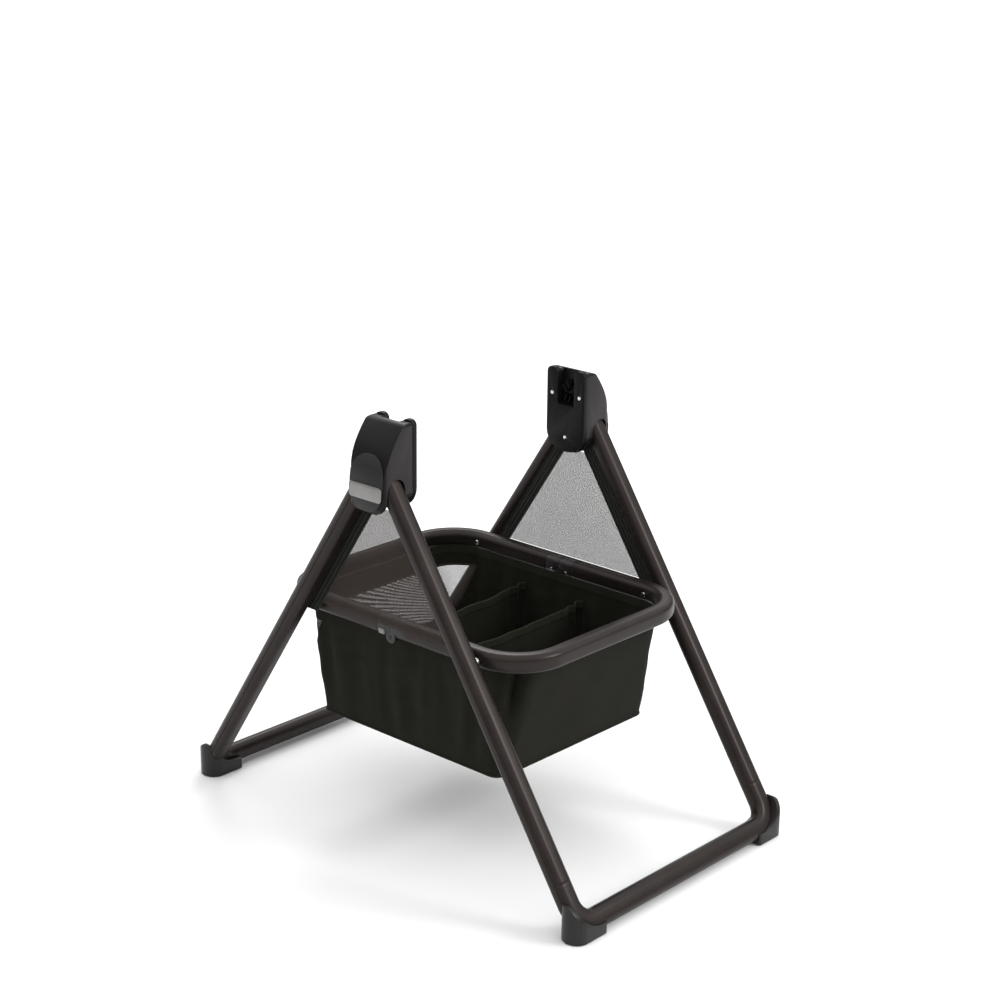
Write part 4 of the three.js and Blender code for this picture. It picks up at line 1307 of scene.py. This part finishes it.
@dataclass
class Studio:
    """Pale floor, soft lights and the camera."""

    azimuth: float = math.radians(-47.534)
    elevation: float = math.radians(17.976)
    roll: float = math.radians(0.622)
    eye: Point = (-2.2322, -2.0750, 1.4962)
    lens: float = 75.69
    sensor: float = 36.0
    floor_half: float = 40.0
    sky_rise: tuple[float, float] = (0.10, 0.60)
    sky_strength: tuple[float, float] = (0.10, 1.42)

    def camera(self) -> None:
        """Sets the camera."""
        flat = math.cos(self.elevation)
        back = Vector((
            math.sin(self.azimuth) * flat, -math.cos(self.azimuth) * flat, math.sin(self.elevation),
        ))
        right = Vector((math.cos(self.azimuth), math.sin(self.azimuth), 0))
        up = back.cross(right)
        turned_right = right * math.cos(self.roll) + up * math.sin(self.roll)
        turned_up = up * math.cos(self.roll) - right * math.sin(self.roll)
        place = Matrix((turned_right, turned_up, back)).transposed().to_4x4()
        place.translation = Vector(self.eye)
        lens = bpy.data.cameras.new("camera")
        lens.lens, lens.sensor_width = self.lens, self.sensor
        camera = bpy.data.objects.new("camera", lens)
        bpy.context.scene.collection.objects.link(camera)
        camera.matrix_world = place
        bpy.context.scene.camera = camera

    def floor(self) -> None:
        """Lays the pale floor."""
        bm = bmesh.new()
        bmesh.ops.create_grid(bm, x_segments=1, y_segments=1, size=self.floor_half)
        ground = Bench.piece("studio_floor", bm, recalculate=False)
        recipe = Recipe("studio_floor")
        recipe.feed("Base Color", grey(0.90, 0.90, 0.90))
        recipe.feed("Roughness", 0.9)
        recipe.feed("Specular IOR Level", 0.1)
        ground.data.materials.append(recipe.material)

    def lamp(self, name: str, eye: Point, target: Point, size: float, power: float) -> None:
        """Hangs one soft lamp.

        Args:
            name: the lamp's name.
            eye: where it hangs.
            target: what it points at.
            size: side of its square, in metres.
            power: its power, in watts.
        """
        light = bpy.data.lights.new(name, "AREA")
        light.size, light.energy = size, power
        lamp = bpy.data.objects.new(name, light)
        bpy.context.scene.collection.objects.link(lamp)
        lamp.location = eye
        lamp.rotation_euler = (Vector(target) - Vector(eye)).to_track_quat("-Z", "Y").to_euler()

    def build(self) -> None:
        """Sets up the studio."""
        self.camera()
        self.floor()
        bpy.context.scene.world = self.sky()
        bpy.context.scene.view_settings.view_transform = "Standard"
        self.lamp("key", (1.5, -3.2, 2.3), (0.0, 0.0, 0.3), 1.1, 60.0)
        self.lamp("rim", (1.8, 1.8, 2.6), (0.0, 0.0, 0.4), 1.0, 25.0)

    def sky(self) -> bpy.types.World:
        """Makes a dome of light that is bright overhead and dim along the horizon.

        Returns:
            The world.
        """
        world = bpy.data.worlds.new("studio")
        world.use_nodes = True
        tree = world.node_tree
        place = tree.nodes.new("ShaderNodeTexCoord")
        axes = tree.nodes.new("ShaderNodeSeparateXYZ")
        share = tree.nodes.new("ShaderNodeMapRange")
        share.interpolation_type = "SMOOTHSTEP"
        sockets = ("From Min", "From Max", "To Min", "To Max")
        for name, value in zip(sockets, self.sky_rise + self.sky_strength):
            share.inputs[name].default_value = value
        tree.links.new(place.outputs["Generated"], axes.inputs[0])
        tree.links.new(axes.outputs["Z"], share.inputs["Value"])
        tree.links.new(share.outputs["Result"], tree.nodes["Background"].inputs["Strength"])
        tree.nodes["Background"].inputs["Color"].default_value = grey(1.0, 1.0, 1.0)
        return world


def main() -> None:
    """Builds the stand piece by piece."""
    logging.basicConfig(level=logging.INFO)
    palette = Palette(FINISHES)
    Studio().build()
    LegFrames(palette).build()
    FoldingRim(palette).build()
    for side in Side:
        Head(palette, side).build()
    Basket(palette).build()
    for side in Side:
        SideScreen(palette, side=side).build()


if __name__ == "__main__":
    main()
